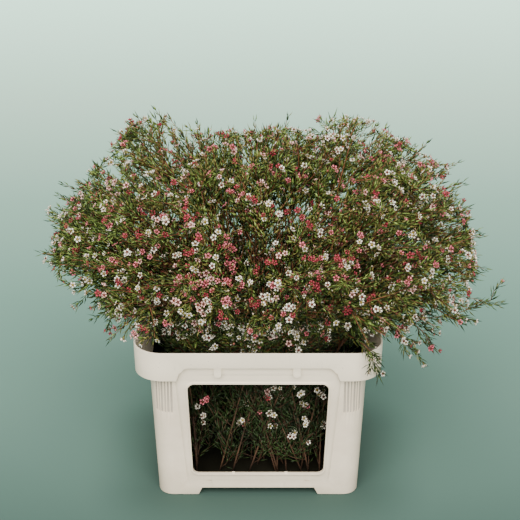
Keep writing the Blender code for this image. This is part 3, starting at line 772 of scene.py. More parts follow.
# a painted light that lifts the plastic towards the rim, which the bush above shades
RIM_PAINTED_LIGHT = (1.0, 0.87, 0.68)
RIM_PAINTED_LIGHT_RISE = (0.17, 0.262)
SCUFF_TINT = (0.42, 0.36, 0.29)
SPECK_TINT = (0.20, 0.15, 0.10)
ROUGHNESS_SPREAD = 0.10
GRAIN_SCALE = 900.0
GRAIN_STRENGTH = 0.05
GRAIN_HEIGHT = 0.0004


def rim_painted_light_mask(tree):
    """Rises from 0 below the panel's top to 1 at the rim: a painted light that makes the rim palest."""
    place = add_node(tree, "ShaderNodeTexCoord")
    split = add_node(tree, "ShaderNodeSeparateXYZ")
    rise = add_node(tree, "ShaderNodeMapRange", interpolation_type="SMOOTHSTEP")
    rise.inputs["From Min"].default_value = RIM_PAINTED_LIGHT_RISE[0]
    rise.inputs["From Max"].default_value = RIM_PAINTED_LIGHT_RISE[1]
    tree.links.new(place.outputs["Object"], split.inputs[0])
    tree.links.new(split.outputs["Z"], rise.inputs["Value"])
    return rise.outputs[0]


def plastic(name, dark, light, dirt, roughness, specular, rim):
    material, tree, shader = new_material(name)
    shader.inputs["Specular IOR Level"].default_value = specular
    link = tree.links.new
    tones = {"Dark": (*dark, 1), "Light": (*light, 1)}
    cloud = use_group(tree, MOTTLE, **tones, Broad_Scale=9.0, Fine_Scale=60.0, Contrast=1.1)
    scuff = use_group(tree, GRIME, Stretch=(1, 1, 0.12), Scale=150.0, Threshold=0.66, Softness=0.10)
    specks = use_group(tree, GRIME, Stretch=(1, 1, 1), Scale=420.0, Threshold=0.70, Softness=0.05)
    color = cloud.outputs["Color"]
    # painted light: the colour is lifted towards the rim
    if rim:
        color = layered(tree, color, rim_painted_light_mask(tree), RIM_PAINTED_LIGHT, rim)
    color = layered(tree, color, scuff.outputs["Mask"], SCUFF_TINT, dirt * 0.30)
    color = layered(tree, color, specks.outputs["Mask"], SPECK_TINT, dirt * 0.55)
    link(color, shader.inputs["Base Color"])
    rough = add_node(tree, "ShaderNodeMapRange")
    rough.inputs["To Min"].default_value = roughness - ROUGHNESS_SPREAD
    rough.inputs["To Max"].default_value = roughness + ROUGHNESS_SPREAD
    link(cloud.outputs["Mask"], rough.inputs["Value"])
    link(rough.outputs[0], shader.inputs["Roughness"])
    grain = use_group(tree, GRAIN, Scale=GRAIN_SCALE)
    bump = add_node(tree, "ShaderNodeBump")
    bump.inputs["Strength"].default_value = GRAIN_STRENGTH
    bump.inputs["Distance"].default_value = GRAIN_HEIGHT
    link(grain.outputs["Height"], bump.inputs["Height"])
    link(bump.outputs["Normal"], shader.inputs["Normal"])
    return material


print("rim tint from and to", RIM_PAINTED_LIGHT_RISE)

# %% [markdown]
# ## Which face gets which finish
# Finishes could be painted face by face, but the moulding comes out of Booleans, so its faces have
# no fixed order. Where the middle of a face lies tells enough. Well below the outer skin is
# inside. A little below the skin at the height of the flutes is in a flute. The slope inside the
# rim that faces up is the lip.


# %% Sort the faces
# the finishes by number, in the order of the bucket's materials
CREAM, LIP, INSIDE, FLUTED = range(4)
FLUTE_ZONE = (0.160, 0.221)
FLUTE_ZONE_X = 0.130
FLUTE_UNDER = 0.0005
INSIDE_UNDER = 0.0022
LIP_FALL = 0.0030


def in_rounded(points, half_x, half_y, radius):
    dx = np.maximum(np.abs(points[..., 0]) - (half_x - radius), 0)
    dy = np.maximum(np.abs(points[..., 1]) - (half_y - radius), 0)
    return np.hypot(dx, dy) <= radius


def in_body(points, inset):
    """True where points lie deeper than inset below the outside of the tapered body."""
    low = np.clip(points[..., 2], 0, SHOULDER_HEIGHT)
    radius = FOOT_RADIUS + (SHOULDER_RADIUS - FOOT_RADIUS) * low / SHOULDER_HEIGHT - inset
    half = [FOOT_HALF[axis] + BODY_DRAFT[axis] * low - inset for axis in (0, 1)]
    return in_rounded(points, *half, radius)


def face_finish(mesh):
    count = len(mesh.polygons)
    middle, normal = np.empty(count * 3), np.empty(count * 3)
    mesh.polygons.foreach_get("center", middle)
    mesh.polygons.foreach_get("normal", normal)
    middle, normal = middle.reshape(-1, 3), normal.reshape(-1, 3)
    z = middle[:, 2]
    finish = np.full(count, CREAM, np.int32)
    fluted = in_body(middle, FLUTE_UNDER) & (z > FLUTE_ZONE[0]) & (z < FLUTE_ZONE[1])
    side_on = np.abs(normal[:, 2]) < 0.5
    finish[fluted & side_on & (np.abs(middle[:, 0]) > FLUTE_ZONE_X)] = FLUTED
    faces_up = normal[:, 2] > 0.30
    finish[faces_up & (z > SHOULDER_HEIGHT) & (z < HEIGHT - LIP_FALL)] = LIP
    between = (z > FLOOR_BOTTOM + 0.001) & (z < SHOULDER_HEIGHT + 0.004)
    # the inside gets the near-black finish, which is painted shade
    finish[in_body(middle, INSIDE_UNDER) & between] = INSIDE
    return finish


bucket.data.materials.clear()
# name, dark tone, light tone, dirt, roughness, specular, strength of the painted rim light
PLASTICS = (
    ("cream_plastic", (0.69, 0.580, 0.437), (0.78, 0.675, 0.525), 1.0, 0.44, 0.5, 1.0),
    ("dusty_plastic", (0.46, 0.38, 0.27), (0.60, 0.51, 0.39), 1.6, 0.60, 0.4, 0.0),
    # the inside: painted shade, near black where little light reaches
    ("inside_painted_shade", (0.004, 0.004, 0.002), (0.010, 0.009, 0.005), 0.0, 0.85, 0.08, 0.0),
    # the flutes: a darker grey than the cream
    ("fluted_plastic", (0.40, 0.345, 0.275), (0.48, 0.42, 0.345), 1.0, 0.60, 0.3, 0.0),
)
for values in PLASTICS:
    bucket.data.materials.append(plastic(*values))
finish = face_finish(bucket.data)
bucket.data.polygons.foreach_set("material_index", finish)
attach(bucket, "root")
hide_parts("bucket")
print("faces by finish", np.bincount(finish))

# %% [markdown]
# ## The fan of stems
# Stems in a bucket spread like a fan: close together at the floor, squeezed at the rim, and
# curving outwards above it. They could be simulated as bent rods. One formula gives the same
# shape at once and never differs between runs. The pair (a, b) says which stem, from the middle
# (0, 0) to the edge, and s runs from 0 at its foot to 1 at its tip. Everything that grows is
# placed in these coordinates, so no branch can leave the bush.

# %% Fan formula
DEPTH_RATIO = 0.72
FAN_FOOT = 0.120
FAN_LOW = (0.140, 0.240)
FAN_HIGH = (0.170, 0.420, 0.020)
FAN_TIP_RADIUS = 0.383
FAN_TIP_BASE = 0.280
FAN_TIP_RISE = 0.335
FAN_TIP_POWER = 0.6
FAN_TIP_ANGLE = math.radians(86)
STEM_FOOT = FLOOR_TOP + 0.0004
MEAN_TOP = 0.918
# place along x, spread and height of the left hump, the right hump and the right shoulder
HUMPS = ((-0.195, 0.050, 0.072), (0.170, 0.070, 0.060), (0.315, 0.045, 0.045))


def bell(values, place, spread):
    """1 at the place and falling off softly over the spread."""
    return np.exp(-((values - place) ** 2) / (2 * spread**2))


def fan_radius(a, b):
    return (np.abs(a) ** 3 + np.abs(b) ** 3) ** (1 / 3)


def fan_points(a, b, s):
    a, b, s = np.broadcast_arrays(np.asarray(a, float), b, s)
    r = fan_radius(a, b)
    angle = FAN_TIP_ANGLE * np.minimum(r, 1.04)
    tip_high = FAN_TIP_BASE + FAN_TIP_RISE * np.maximum(np.cos(angle), 0) ** FAN_TIP_POWER
    rest = 1 - s
    w0, w1, w2, w3 = rest**3, 3 * rest**2 * s, 3 * rest * s**2, s**3
    wide = w0 * FAN_FOOT * r + w1 * FAN_LOW[0] * r + w2 * FAN_HIGH[0] * r
    wide = wide + w3 * FAN_TIP_RADIUS * np.sin(angle)
    high = w0 * STEM_FOOT + w1 * FAN_LOW[1] + w2 * (FAN_HIGH[1] - FAN_HIGH[2] * r * r)
    high = high + w3 * tip_high
    ratio = wide / np.maximum(r, 1e-9)
    return np.stack([ratio * a, DEPTH_RATIO * ratio * b, high], axis=-1)


def stem_top(a, b):
    """How far along s the stems reach: two humps, a full right shoulder, and a lower edge."""
    x = fan_points(a, b, 1.0)[..., 0]
    humps = sum(height * bell(x, place, spread) for place, spread, height in HUMPS)
    edge = np.clip((fan_radius(a, b) - 0.70) / 0.30, 0, 1) ** 2
    drop = 0.050 - np.where(np.asarray(a) > 0, 0.046, 0.030) * np.abs(a)
    return MEAN_TOP + humps - drop * edge


print("tip of the middle stem", fan_points(0.0, 0.0, 1.0))

# %% [markdown]
# ## Keeping clear of the plastic
# A leaf may stand inside the bucket or above the rim, but never in the wall. A solver could push
# such leaves aside one by one. Among thousands, nobody misses a few, so this test takes many
# points at once and says which are clear, and the rest are dropped.


# %% Clearance test
def clear_of_bucket(points):
    z = points[..., 2]
    low = np.clip(z, 0, SHOULDER_HEIGHT)
    inset = WALL + 0.0015
    radius = FOOT_RADIUS + (SHOULDER_RADIUS - FOOT_RADIUS) * low / SHOULDER_HEIGHT - inset
    share = np.clip((z - SHOULDER_HEIGHT) / (HEIGHT - SHOULDER_HEIGHT), 0, 1)
    half_x = FOOT_HALF[0] + BODY_DRAFT[0] * low - inset + 0.016 * share
    half_y = FOOT_HALF[1] + BODY_DRAFT[1] * low - inset + 0.009 * share
    inside = in_rounded(points, half_x, half_y, radius) & (z > STEM_FOOT - 1e-5)
    outside = ~in_rounded(points, RIM_HALF[0] + 0.004, RIM_HALF[1] + 0.004, RIM_RADIUS)
    return (z > HEIGHT + 0.001) | inside | (outside & (z > 0.15))


print("clear at the bucket's middle", bool(clear_of_bucket(np.array([0.0, 0.0, 0.1]))))

# %% [markdown]
# ## Building many pieces at once
# Tens of thousands of leaves would take minutes one at a time, and particles would be lost when
# the model is exported. Arrays place them all together as real meshes: one routine makes tubes
# along many paths, another copies a small template to many places.


# %% Array builders
def unit(vectors):
    length = np.linalg.norm(vectors, axis=-1, keepdims=True)
    return vectors / np.maximum(length, 1e-12)


def any_square(vectors):
    """A direction square to each vector, and another square to both."""
    helper = np.where(np.abs(vectors[..., 2:3]) < 0.8, [0.0, 0.0, 1.0], [1.0, 0.0, 0.0])
    side = unit(np.cross(vectors, helper))
    return side, np.cross(vectors, side)


def tubes(paths, radii, sides):
    """Closed tubes along paths of shape (count, steps, 3). Returns points and triangles."""
    count, steps, _ = paths.shape
    ahead = unit(np.gradient(paths, axis=1))
    side0, _ = any_square(unit(paths[:, -1] - paths[:, 0]))
    side = side0[:, None, :] - ahead * np.sum(side0[:, None, :] * ahead, axis=-1, keepdims=True)
    side = unit(side)
    across = np.cross(ahead, side)
    turn = 2 * np.pi * np.arange(sides) / sides
    ring = np.cos(turn)[:, None] * side[:, :, None, :] + np.sin(turn)[:, None] * across[:, :, None, :]
    points = (paths[:, :, None, :] + radii[:, :, None, None] * ring).reshape(-1, 3)
    k = np.arange(sides)
    j = (k + 1) % sides
    band = np.concatenate([np.stack([k, j, j + sides], 1), np.stack([k, j + sides, k + sides], 1)])
    local = np.concatenate([band + sides * level for level in range(steps - 1)])
    fan = np.stack([np.zeros(sides - 2, int), np.arange(1, sides - 1), np.arange(2, sides)], 1)
    local = np.concatenate([local, fan[:, ::-1], fan + sides * (steps - 1)])
    start = np.arange(count)[:, None, None] * (steps * sides)
    return points, (local[None] + start).reshape(-1, 3)


def place_copies(template, origins, ahead, side, size):
    """Copies of a template (points, triangles), whose x runs along ahead and y along side."""
    points, triangles = template
    across = np.cross(ahead, side)
    scaled = points[None] * size[:, None, :]
    placed = origins[:, None, :] + scaled[..., 0:1] * ahead[:, None, :]
    placed = placed + scaled[..., 1:2] * side[:, None, :] + scaled[..., 2:3] * across[:, None, :]
    start = np.arange(len(origins))[:, None, None] * len(points)
    return placed.reshape(-1, 3), (triangles[None] + start).reshape(-1, 3)


def join_arrays(parts):
    points, triangles, offset = [], [], 0
    for p, t in parts:
        points.append(p)
        triangles.append(t + offset)
        offset += len(p)
    return np.concatenate(points), np.concatenate(triangles)


def add_piece(name, arrays, material, smooth=True):
    points, triangles = arrays
    mesh = bpy.data.meshes.new(name)
    mesh.vertices.add(len(points))
    mesh.vertices.foreach_set("co", np.ascontiguousarray(points, np.float32).ravel())
    mesh.loops.add(triangles.size)
    mesh.loops.foreach_set("vertex_index", np.ascontiguousarray(triangles, np.int32).ravel())
    mesh.polygons.add(len(triangles))
    mesh.polygons.foreach_set("loop_start", np.arange(0, triangles.size, 3, dtype=np.int32))
    mesh.update(calc_edges=True)
    mesh.validate()
    if smooth:
        mesh.shade_smooth()
    mesh.materials.append(material)
    piece = bpy.data.objects.new(name, mesh)
    bpy.context.scene.collection.objects.link(piece)
    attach(piece, "root")
    print(name, len(triangles), "triangles")
    return piece


# %% [markdown]
# ## Where the stems stand
# Cut stems are packed in rough rows. A random scatter would leave clumps and holes, so the first
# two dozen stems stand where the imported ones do, row by row with the same small stagger, and
# thirty-one more stand between them. Inside the bucket each stem's foot has slid to its own side,
# so the stems cross behind the window, as cut stems do.

# %% Stem sites
SEED = 2
STEM_ROWS = ((-0.77, 4, 0.58), (-0.39, 5, 0.78), (0.0, 6, 0.84), (0.39, 5, 0.78), (0.77, 4, 0.58))
MORE_ROWS = ((-0.86, 5, 0.50), (-0.58, 6, 0.80), (-0.19, 7, 0.90), (0.19, 7, 0.90), (0.58, 6, 0.80))
SITE_JITTER = (0.035, 0.060)


def stem_sites(rows, jitter, draw):
    sites = []
    for b, count, reach in rows:
        for i in range(count):
            a = -reach + 2 * reach * i / (count - 1)
            sites.append((a + draw.uniform(-1, 1) * jitter, b + draw.uniform(-1, 1) * jitter))
    return sites


sites = np.array(
    stem_sites(STEM_ROWS, SITE_JITTER[0], random.Random(SEED))
    + stem_sites(MORE_ROWS, SITE_JITTER[1], random.Random(SEED + 1))
)
dice = np.random.default_rng(SEED)
print("stems", len(sites))

# %% [markdown]
# ## Growing shoots
# A shoot starts on its parent and ends at another place of the fan. It leaves quickly sideways and
# then runs along with its parent, as a branch does that reaches for light. A growth grammar could
# build it bud by bud. Here a shoot is one curve between two known ends, so the outline of the
# bush stays in hand. The same routine grows branches, twigs and fringe, many at a time.


# %% Grow shoots
def shoots(start, end, steps, sway, rng):
    """Paths in fan coordinates from start to end, both (count, 3), as (count, steps, 3)."""
    u = np.linspace(0, 1, steps)
    spread = 1 - (1 - u) ** 1.7
    share = np.stack([spread, spread, u], axis=-1)
    path = start[:, None, :] + (end - start)[:, None, :] * share[None]
    wave = rng.normal(0, 1, (len(start), 1, 3)) * np.sin(np.pi * u)[None, :, None]
    wave = wave + 0.6 * rng.normal(0, 1, (len(start), 1, 3)) * np.sin(2 * np.pi * u)[None, :, None]
    return path + wave * sway * np.array([1, 1, 0.0])


def in_world(path):
    return fan_points(path[..., 0], path[..., 1], path[..., 2])


def stem_paths(rng):
    tops = stem_top(sites[:, 0], sites[:, 1]) * rng.uniform(0.90, 0.97, len(sites))
    u = np.linspace(0, 1, 20)
    s = tops[:, None] * u[None]
    slide = np.clip(1 - s / 0.5, 0, 1) ** 1.3
    foot = np.clip(sites + rng.uniform(-0.95, 0.95, (len(sites), 2)), -0.86, 0.86)
    a = sites[:, 0:1] + (foot - sites)[:, 0:1] * slide
    b = sites[:, 1:2] + (foot - sites)[:, 1:2] * slide
    sway = 0.012 * rng.normal(0, 1, (len(sites), 2, 1)) * np.sin(3 * np.pi * u)
    return np.stack([a + sway[:, 0], b + sway[:, 1], s], axis=-1)


stems = stem_paths(dice)
print("stem paths", stems.shape)

# %% [markdown]
# ## Branches and twigs
# Branches leave each stem from just below the rim to near its tip, at turns of the golden angle,
# which spreads them evenly where plain chance would leave bare sides. Twigs leave the branches
# the same way. Ends past the edge of the fan are drawn back to it, and any shoot that would cross
# the plastic is dropped.

# %% Branch and twig routines
GOLDEN = math.radians(137.508)
EDGE = 0.985


def sample_path(paths, share):
    """Points of paths (count, steps, 3) at shares (count, n) of their length."""
    place = share * (paths.shape[1] - 1)
    low = np.clip(place.astype(int), 0, paths.shape[1] - 2)
    part = (place - low)[..., None]
    rows = np.arange(len(paths))[:, None]
    return paths[rows, low] * (1 - part) + paths[rows, low + 1] * part


def hold_in_fan(end, edge):
    r = fan_radius(end[:, 0], end[:, 1])
    shrink = np.minimum(1, edge / np.maximum(r, 1e-9))
    end[:, 0] *= shrink
    end[:, 1] *= shrink
    end[:, 2] = np.minimum(end[:, 2], stem_top(end[:, 0], end[:, 1]) + 0.01)
    return end


def keep_clear(paths):
    return paths[clear_of_bucket(in_world(paths)).all(axis=1)]


def grow(parents, shares, reach, rise, steps, sway, rng, edge=EDGE):
    """Side shoots of every parent at the given shares, spread by the golden angle."""
    count = len(parents)
    at = shares[None, :] + rng.uniform(-0.02, 0.02, (count, len(shares)))
    start = sample_path(parents, np.clip(at, 0, 0.995)).reshape(-1, 3)
    turn = rng.uniform(0, 2 * np.pi, (count, 1)) + GOLDEN * np.arange(len(shares))[None]
    turn = (turn + rng.normal(0, 0.35, turn.shape)).ravel()
    far = rng.uniform(*reach, len(start))
    climb = rng.uniform(*rise, len(start))
    end = start + np.stack([np.cos(turn) * far, np.sin(turn) * far, climb], axis=-1)
    return keep_clear(shoots(start, hold_in_fan(end, edge), steps, sway, rng))


print("golden angle", math.degrees(GOLDEN))


# %% Main branches and twigs
BRANCH_STEPS = 7
TWIG_STEPS = 3
BRANCH_SWAY = 0.006
TWIG_SWAY = 0.003
branch_places = np.linspace(0.42, 0.97, 15)
twig_places = np.linspace(0.25, 0.99, 6)
branches = grow(stems, branch_places, (0.04, 0.15), (0.08, 0.19), BRANCH_STEPS, BRANCH_SWAY, dice)
twigs = grow(branches, twig_places, (0.015, 0.06), (0.035, 0.085), TWIG_STEPS, TWIG_SWAY, dice)
print("branches", len(branches), "twigs", len(twigs))

# %% [markdown]
# ## The fringe over the rim
# Low outer shoots lean out over the rim at the two short ends, and stand close to it in front,
# where the lip shows. Evenly grown branches leave this zone bare, because few of them start so
# low. These start on the outer stems and end a little higher and further out. Collar shoots fill
# the mouth of the bucket, and straight spires stand out of the top.


# %% Fringe
def fringe_shoots(rng):
    outer = stems[fan_radius(sites[:, 0], sites[:, 1]) > 0.60]
    share = rng.uniform(0.54, 0.74, (len(outer), 9)) + 0.05 * (outer[:, :1, 0] < 0)
    start = sample_path(outer, share).reshape(-1, 3)
    aim = np.arctan2(start[:, 1], start[:, 0]) + rng.normal(0, 0.35, len(start))
    ray = np.stack([np.cos(aim), np.sin(aim)], axis=-1)
    ray /= fan_radius(ray[:, 0], ray[:, 1])[:, None]
    sideways = np.abs(ray[:, 0:1]) ** 2
    far = 0.93 + (0.10 + 0.14 * (ray[:, 0:1] > 0)) * sideways * rng.random((len(start), 1))
    high = start[:, 2:3] + rng.uniform(0.05, 0.15, (len(start), 1))
    end = np.concatenate([ray * far, high], axis=-1)
    return keep_clear(shoots(start, end, BRANCH_STEPS, BRANCH_SWAY, rng))


def collar_shoots(rng):
    """Short shoots that fill the mouth of the bucket up to its lip."""
    outer = stems[fan_radius(sites[:, 0], sites[:, 1]) > 0.55]
    start = sample_path(outer, rng.uniform(0.42, 0.56, (len(outer), 7))).reshape(-1, 3)
    aim = np.arctan2(start[:, 1], start[:, 0]) + rng.normal(0, 0.45, len(start))
    ray = np.stack([np.cos(aim), np.sin(aim)], axis=-1)
    ray *= (rng.uniform(0.80, 0.97, len(start)) / fan_radius(ray[:, 0], ray[:, 1]))[:, None]
    high = start[:, 2:3] + rng.uniform(0.04, 0.13, (len(start), 1))
    end = np.concatenate([ray, high], axis=-1)
    return keep_clear(shoots(start, end, BRANCH_STEPS, BRANCH_SWAY, rng))


def spire_shoots(rng):
    """Straight leafy tips that stand out of the top."""
    start = np.repeat(sample_path(stems, np.full((len(stems), 1), 0.92)), 3, axis=1).reshape(-1, 3)
    end = start + rng.uniform(-0.10, 0.10, start.shape) * np.array([1, 1, 0])
    end[:, 2] = stem_top(end[:, 0], end[:, 1]) + rng.uniform(0.00, 0.055, len(end))
    return shoots(start, end, BRANCH_STEPS, 0.004, rng)


fringe = np.concatenate([fringe_shoots(dice), collar_shoots(dice)])
spires = spire_shoots(dice)
places = np.linspace(0.30, 0.98, 5)
fringe_reach = (0.02, 0.07)
fringe_edge = 1.04
fringe_twigs = grow(
    fringe, places, fringe_reach, fringe_reach, TWIG_STEPS, TWIG_SWAY, dice, fringe_edge
)
print("fringe", len(fringe), "twigs", len(fringe_twigs), "spires", len(spires))

# %% [markdown]
# ## Shoots inside the bucket
# The window shows the lower stems: thin brown twigs at all angles, long dark needles, and a few
# flowers. A dark picture behind the opening would do from the front only. Real shoots hold from
# any side, so they grow from the lower part of every stem, most of them near the window.

# %% Low shoots
LOW_SWAY = 0.02
LOW_TWIG_SWAY = 0.01
front = sites[:, 1] < 0.1
places = np.linspace(0.02, 0.48, 12)
low = grow(stems[front], places, (0.10, 0.45), (0.02, 0.14), BRANCH_STEPS, LOW_SWAY, dice)
places = np.linspace(0.04, 0.48, 6)
low_back = grow(stems[~front], places, (0.10, 0.42), (0.04, 0.14), BRANCH_STEPS, LOW_SWAY, dice)
low = np.concatenate([low, low_back])
places = np.linspace(0.35, 0.98, 2)
low_twigs = grow(low, places, (0.05, 0.20), (0.02, 0.07), TWIG_STEPS, LOW_TWIG_SWAY, dice)
print("low shoots", len(low), "twigs", len(low_twigs))

# %% [markdown]
# ## Stray sprigs
# A few long sprigs give this bunch its own outline: one low on the right, two at the left, and
# three that hang over the rim at the right. Chance never puts a sprig in a given place, so each
# is drawn as a smooth curve through four points, and short twigs stand out of it all round.

# %% Strays
STRAYS = (
    ((0.205, -0.080, 0.315), (0.262, -0.094, 0.318), (0.318, -0.100, 0.331), (0.368, -0.100, 0.354)),
    ((-0.245, 0.060, 0.385), (-0.280, 0.078, 0.398), (-0.306, 0.085, 0.406), (-0.328, 0.090, 0.416)),
    ((-0.240, 0.000, 0.350), (-0.275, 0.010, 0.352), (-0.302, 0.015, 0.358), (-0.330, 0.020, 0.372)),
    ((0.150, -0.075, 0.300), (0.200, -0.106, 0.312), (0.224, -0.126, 0.304), (0.238, -0.134, 0.286)),
    ((0.165, -0.040, 0.300), (0.212, -0.066, 0.316), (0.250, -0.080, 0.302), (0.276, -0.086, 0.276)),
    ((0.120, -0.095, 0.300), (0.155, -0.135, 0.302), (0.176, -0.150, 0.288), (0.182, -0.155, 0.268)),
)


def smooth_line(corners, steps):
    """A smooth curve that passes through every corner, with even steps."""
    p = np.array(corners)
    p = np.concatenate([2 * p[:1] - p[1:2], p, 2 * p[-1:] - p[-2:-1]])
    t = np.linspace(0, len(corners) - 1, steps)
    i = np.minimum(t.astype(int), len(corners) - 2)
    u = (t - i)[:, None]
    a, b, c, d = p[i], p[i + 1], p[i + 2], p[i + 3]
    return 0.5 * (2 * b + (c - a) * u + (2 * a - 5 * b + 4 * c - d) * u**2 + (3 * b - a - 3 * c + d) * u**3)


def spray_twigs(lines, shares, length, rng):
    """Short twigs in world space that stand out of each line all round."""
    share = np.tile(shares, (len(lines), 1))
    start = sample_path(lines, share)
    ahead = unit(sample_path(lines, share) - sample_path(lines, share - 0.15))
    side, across = any_square(ahead)
    turn = rng.uniform(0, 2 * np.pi, (len(lines), 1)) + GOLDEN * np.arange(len(shares))[None]
    out = np.cos(turn)[..., None] * side + np.sin(turn)[..., None] * across
    lean = rng.uniform(0.45, 0.9, turn.shape)[..., None]
    way = unit(ahead + lean * out) * rng.uniform(*length, turn.shape)[..., None]
    bow = 0.12 * np.linalg.norm(way, axis=-1, keepdims=True) * out
    path = np.stack([start, start + 0.5 * way + bow, start + way], axis=2)
    return path.reshape(-1, TWIG_STEPS, 3)


stray_lines = np.stack([smooth_line(corners, BRANCH_STEPS) for corners in STRAYS])
stray_twigs = spray_twigs(stray_lines, np.linspace(0.30, 1.0, 9), (0.012, 0.030), dice)
stray_twigs = stray_twigs[clear_of_bucket(stray_twigs).all(axis=1)]
print("strays", len(stray_lines), "twigs", len(stray_twigs))

# %% [markdown]
# ## What nobody sees
# The deep middle of the bush is dark and hidden, and all of it would be millions of triangles. A
# measure of depth compares each place with the edge of the fan at the same height. What lies near
# the surface, behind the window or in the thin top is kept whole, and only a share of the rest.


# %% Depth in the bush
EDGE_LINE = fan_points(1.0, 0.0, np.linspace(0, 1, 60))
DOME_RISE = FAN_TIP_RISE * 0.93
PANE_TOP = 0.23
PANE_BACK = 0.02
THIN_TOP = 0.47


def depth_share(points):
    """About 0 in the middle of the bush and 1 at its surface, at the side and on the dome."""
    wide = fan_radius(points[:, 0], points[:, 1] / DEPTH_RATIO)
    low = wide / np.interp(points[:, 2], EDGE_LINE[:, 2], EDGE_LINE[:, 0])
    rise = np.clip((points[:, 2] - FAN_TIP_BASE) / DOME_RISE, 0, 2)
    dome = np.hypot(wide / FAN_TIP_RADIUS, rise)
    return np.where(points[:, 2] < EDGE_LINE[-1, 2], low, dome)


def thinned(points, edge, share, rng):
    """True for what lies outside the edge, and for a share of the rest."""
    high = points[:, 2]
    by_window = (high < PANE_TOP) & (points[:, 1] < PANE_BACK)
    by_surface = (high > PANE_TOP) & (depth_share(points) > edge)
    return by_window | by_surface | (high > THIN_TOP) | (rng.random(len(points)) < share)


print("edge of the fan at the rim", np.interp(HEIGHT, EDGE_LINE[:, 2], EDGE_LINE[:, 0]))

# %% [markdown]
# ## Wood
# Old wood is reddish brown with rough bark. Young twigs are olive green, and about half of them
# have a red tinge. Curves with a round bevel would do for a few stems, but thousands are slow, so
# the tubes are arrays. They taper from foot to tip. Stems have six sides, branches and twigs
# three, which is enough at their size. Few of the hidden twigs get wood.

# %% Wood tubes
stem_lines = in_world(stems)
spire_lines = in_world(spires)
branch_lines = np.concatenate([in_world(branches), in_world(fringe), stray_lines])
low_lines = in_world(low)
twig_lines = np.concatenate([in_world(twigs), in_world(fringe_twigs), stray_twigs])
low_twig_lines = in_world(low_twigs)


def tapered(lines, thick, thin):
    share = np.linspace(0, 1, lines.shape[1])
    return np.tile(thick + (thin - thick) * share, (len(lines), 1))


def wood(lines, thick, thin, sides):
    return tubes(lines, tapered(lines, thick, thin), sides)


HIDDEN_DEPTH = 0.60
HIDDEN_WOOD = 0.25
RED_SHARE = 0.55
near_surface = depth_share(twig_lines[:, -1]) > HIDDEN_DEPTH
shown_twigs = twig_lines[near_surface | (dice.random(len(twig_lines)) < HIDDEN_WOOD)]
reddish = dice.random(len(shown_twigs)) < RED_SHARE
print("twigs", len(twig_lines), "with wood", len(shown_twigs))


# %% Wood materials
def mottled(name, dark, light, broad, fine, contrast, roughness, bump_size=0.0, specular=0.4):
    material, tree, shader = new_material(name, roughness)
    tones = {"Dark": (*dark, 1), "Light": (*light, 1)}
    pattern = use_group(tree, MOTTLE, **tones, Broad_Scale=broad, Fine_Scale=fine, Contrast=contrast)
    tree.links.new(pattern.outputs["Color"], shader.inputs["Base Color"])
    shader.inputs["Specular IOR Level"].default_value = specular
    if bump_size:
        bump = add_node(tree, "ShaderNodeBump")
        bump.inputs["Strength"].default_value = 0.4
        bump.inputs["Distance"].default_value = bump_size
        tree.links.new(pattern.outputs["Mask"], bump.inputs["Height"])
        tree.links.new(bump.outputs["Normal"], shader.inputs["Normal"])
    return material


bark = mottled("bark", (0.024, 0.011, 0.006), (0.100, 0.050, 0.025), 25, 600, 2.2, 0.7, 0.0003)
red_twig = mottled("red_twig", (0.080, 0.025, 0.011), (0.230, 0.090, 0.036), 12, 150, 2.0, 0.65)
green_twig = mottled("green_twig", (0.060, 0.080, 0.014), (0.170, 0.185, 0.040), 12, 150, 2.0, 0.6)
# radius at the foot and at the tip, and the number of sides
STEM_TUBE = (0.0015, 0.0009, 6)
BRANCH_TUBE = (0.0011, 0.0006, 3)
SPIRE_TUBE = (0.0008, 0.0005, 3)
TWIG_TUBE = (0.0007, 0.0004, 3)
LOW_TWIG_TUBE = (0.0005, 0.0004, 3)
low_wood = [wood(low_lines, *TWIG_TUBE), wood(low_twig_lines, *LOW_TWIG_TUBE)]
stem_wood = join_arrays([wood(stem_lines, *STEM_TUBE)] + low_wood)
branch_wood = join_arrays([wood(branch_lines, *BRANCH_TUBE), wood(spire_lines, *SPIRE_TUBE)])
red_wood = wood(shown_twigs[reddish], *TWIG_TUBE)
green_wood = wood(shown_twigs[~reddish], *TWIG_TUBE)
plant = [
    add_piece("stem_wood", stem_wood, bark),
    add_piece("branch_wood", branch_wood, red_twig),
    add_piece("twigs_red", red_wood, red_twig),
    add_piece("twigs_green", green_wood, green_twig),
]

# %% [markdown]
# ## Needle leaves
# A waxflower leaf is a narrow needle, 10 to 30 mm long and one or two millimetres wide, with a
# keel below. A flat strip would vanish when seen edge on. The template is the smallest closed
# solid there is, with four corners: root, tip and two sides, so the keel runs underneath. Leaves
# grow in pairs, each turned from the last.


# %% Leaf template
def leaf_template(lift):
    """Root, tip and two raised sides: a keeled blade of four triangles, one unit long and wide."""
    points = np.array([(0.0, 0.0, 0.0), (1.0, 0.0, 0.0), (0.45, 0.5, lift), (0.45, -0.5, lift)])
    return points, np.array([(0, 3, 2), (1, 2, 3), (0, 2, 1), (0, 1, 3)])


LEAF = leaf_template(0.55)
print("corners of a leaf", len(LEAF[0]), "triangles", len(LEAF[1]))


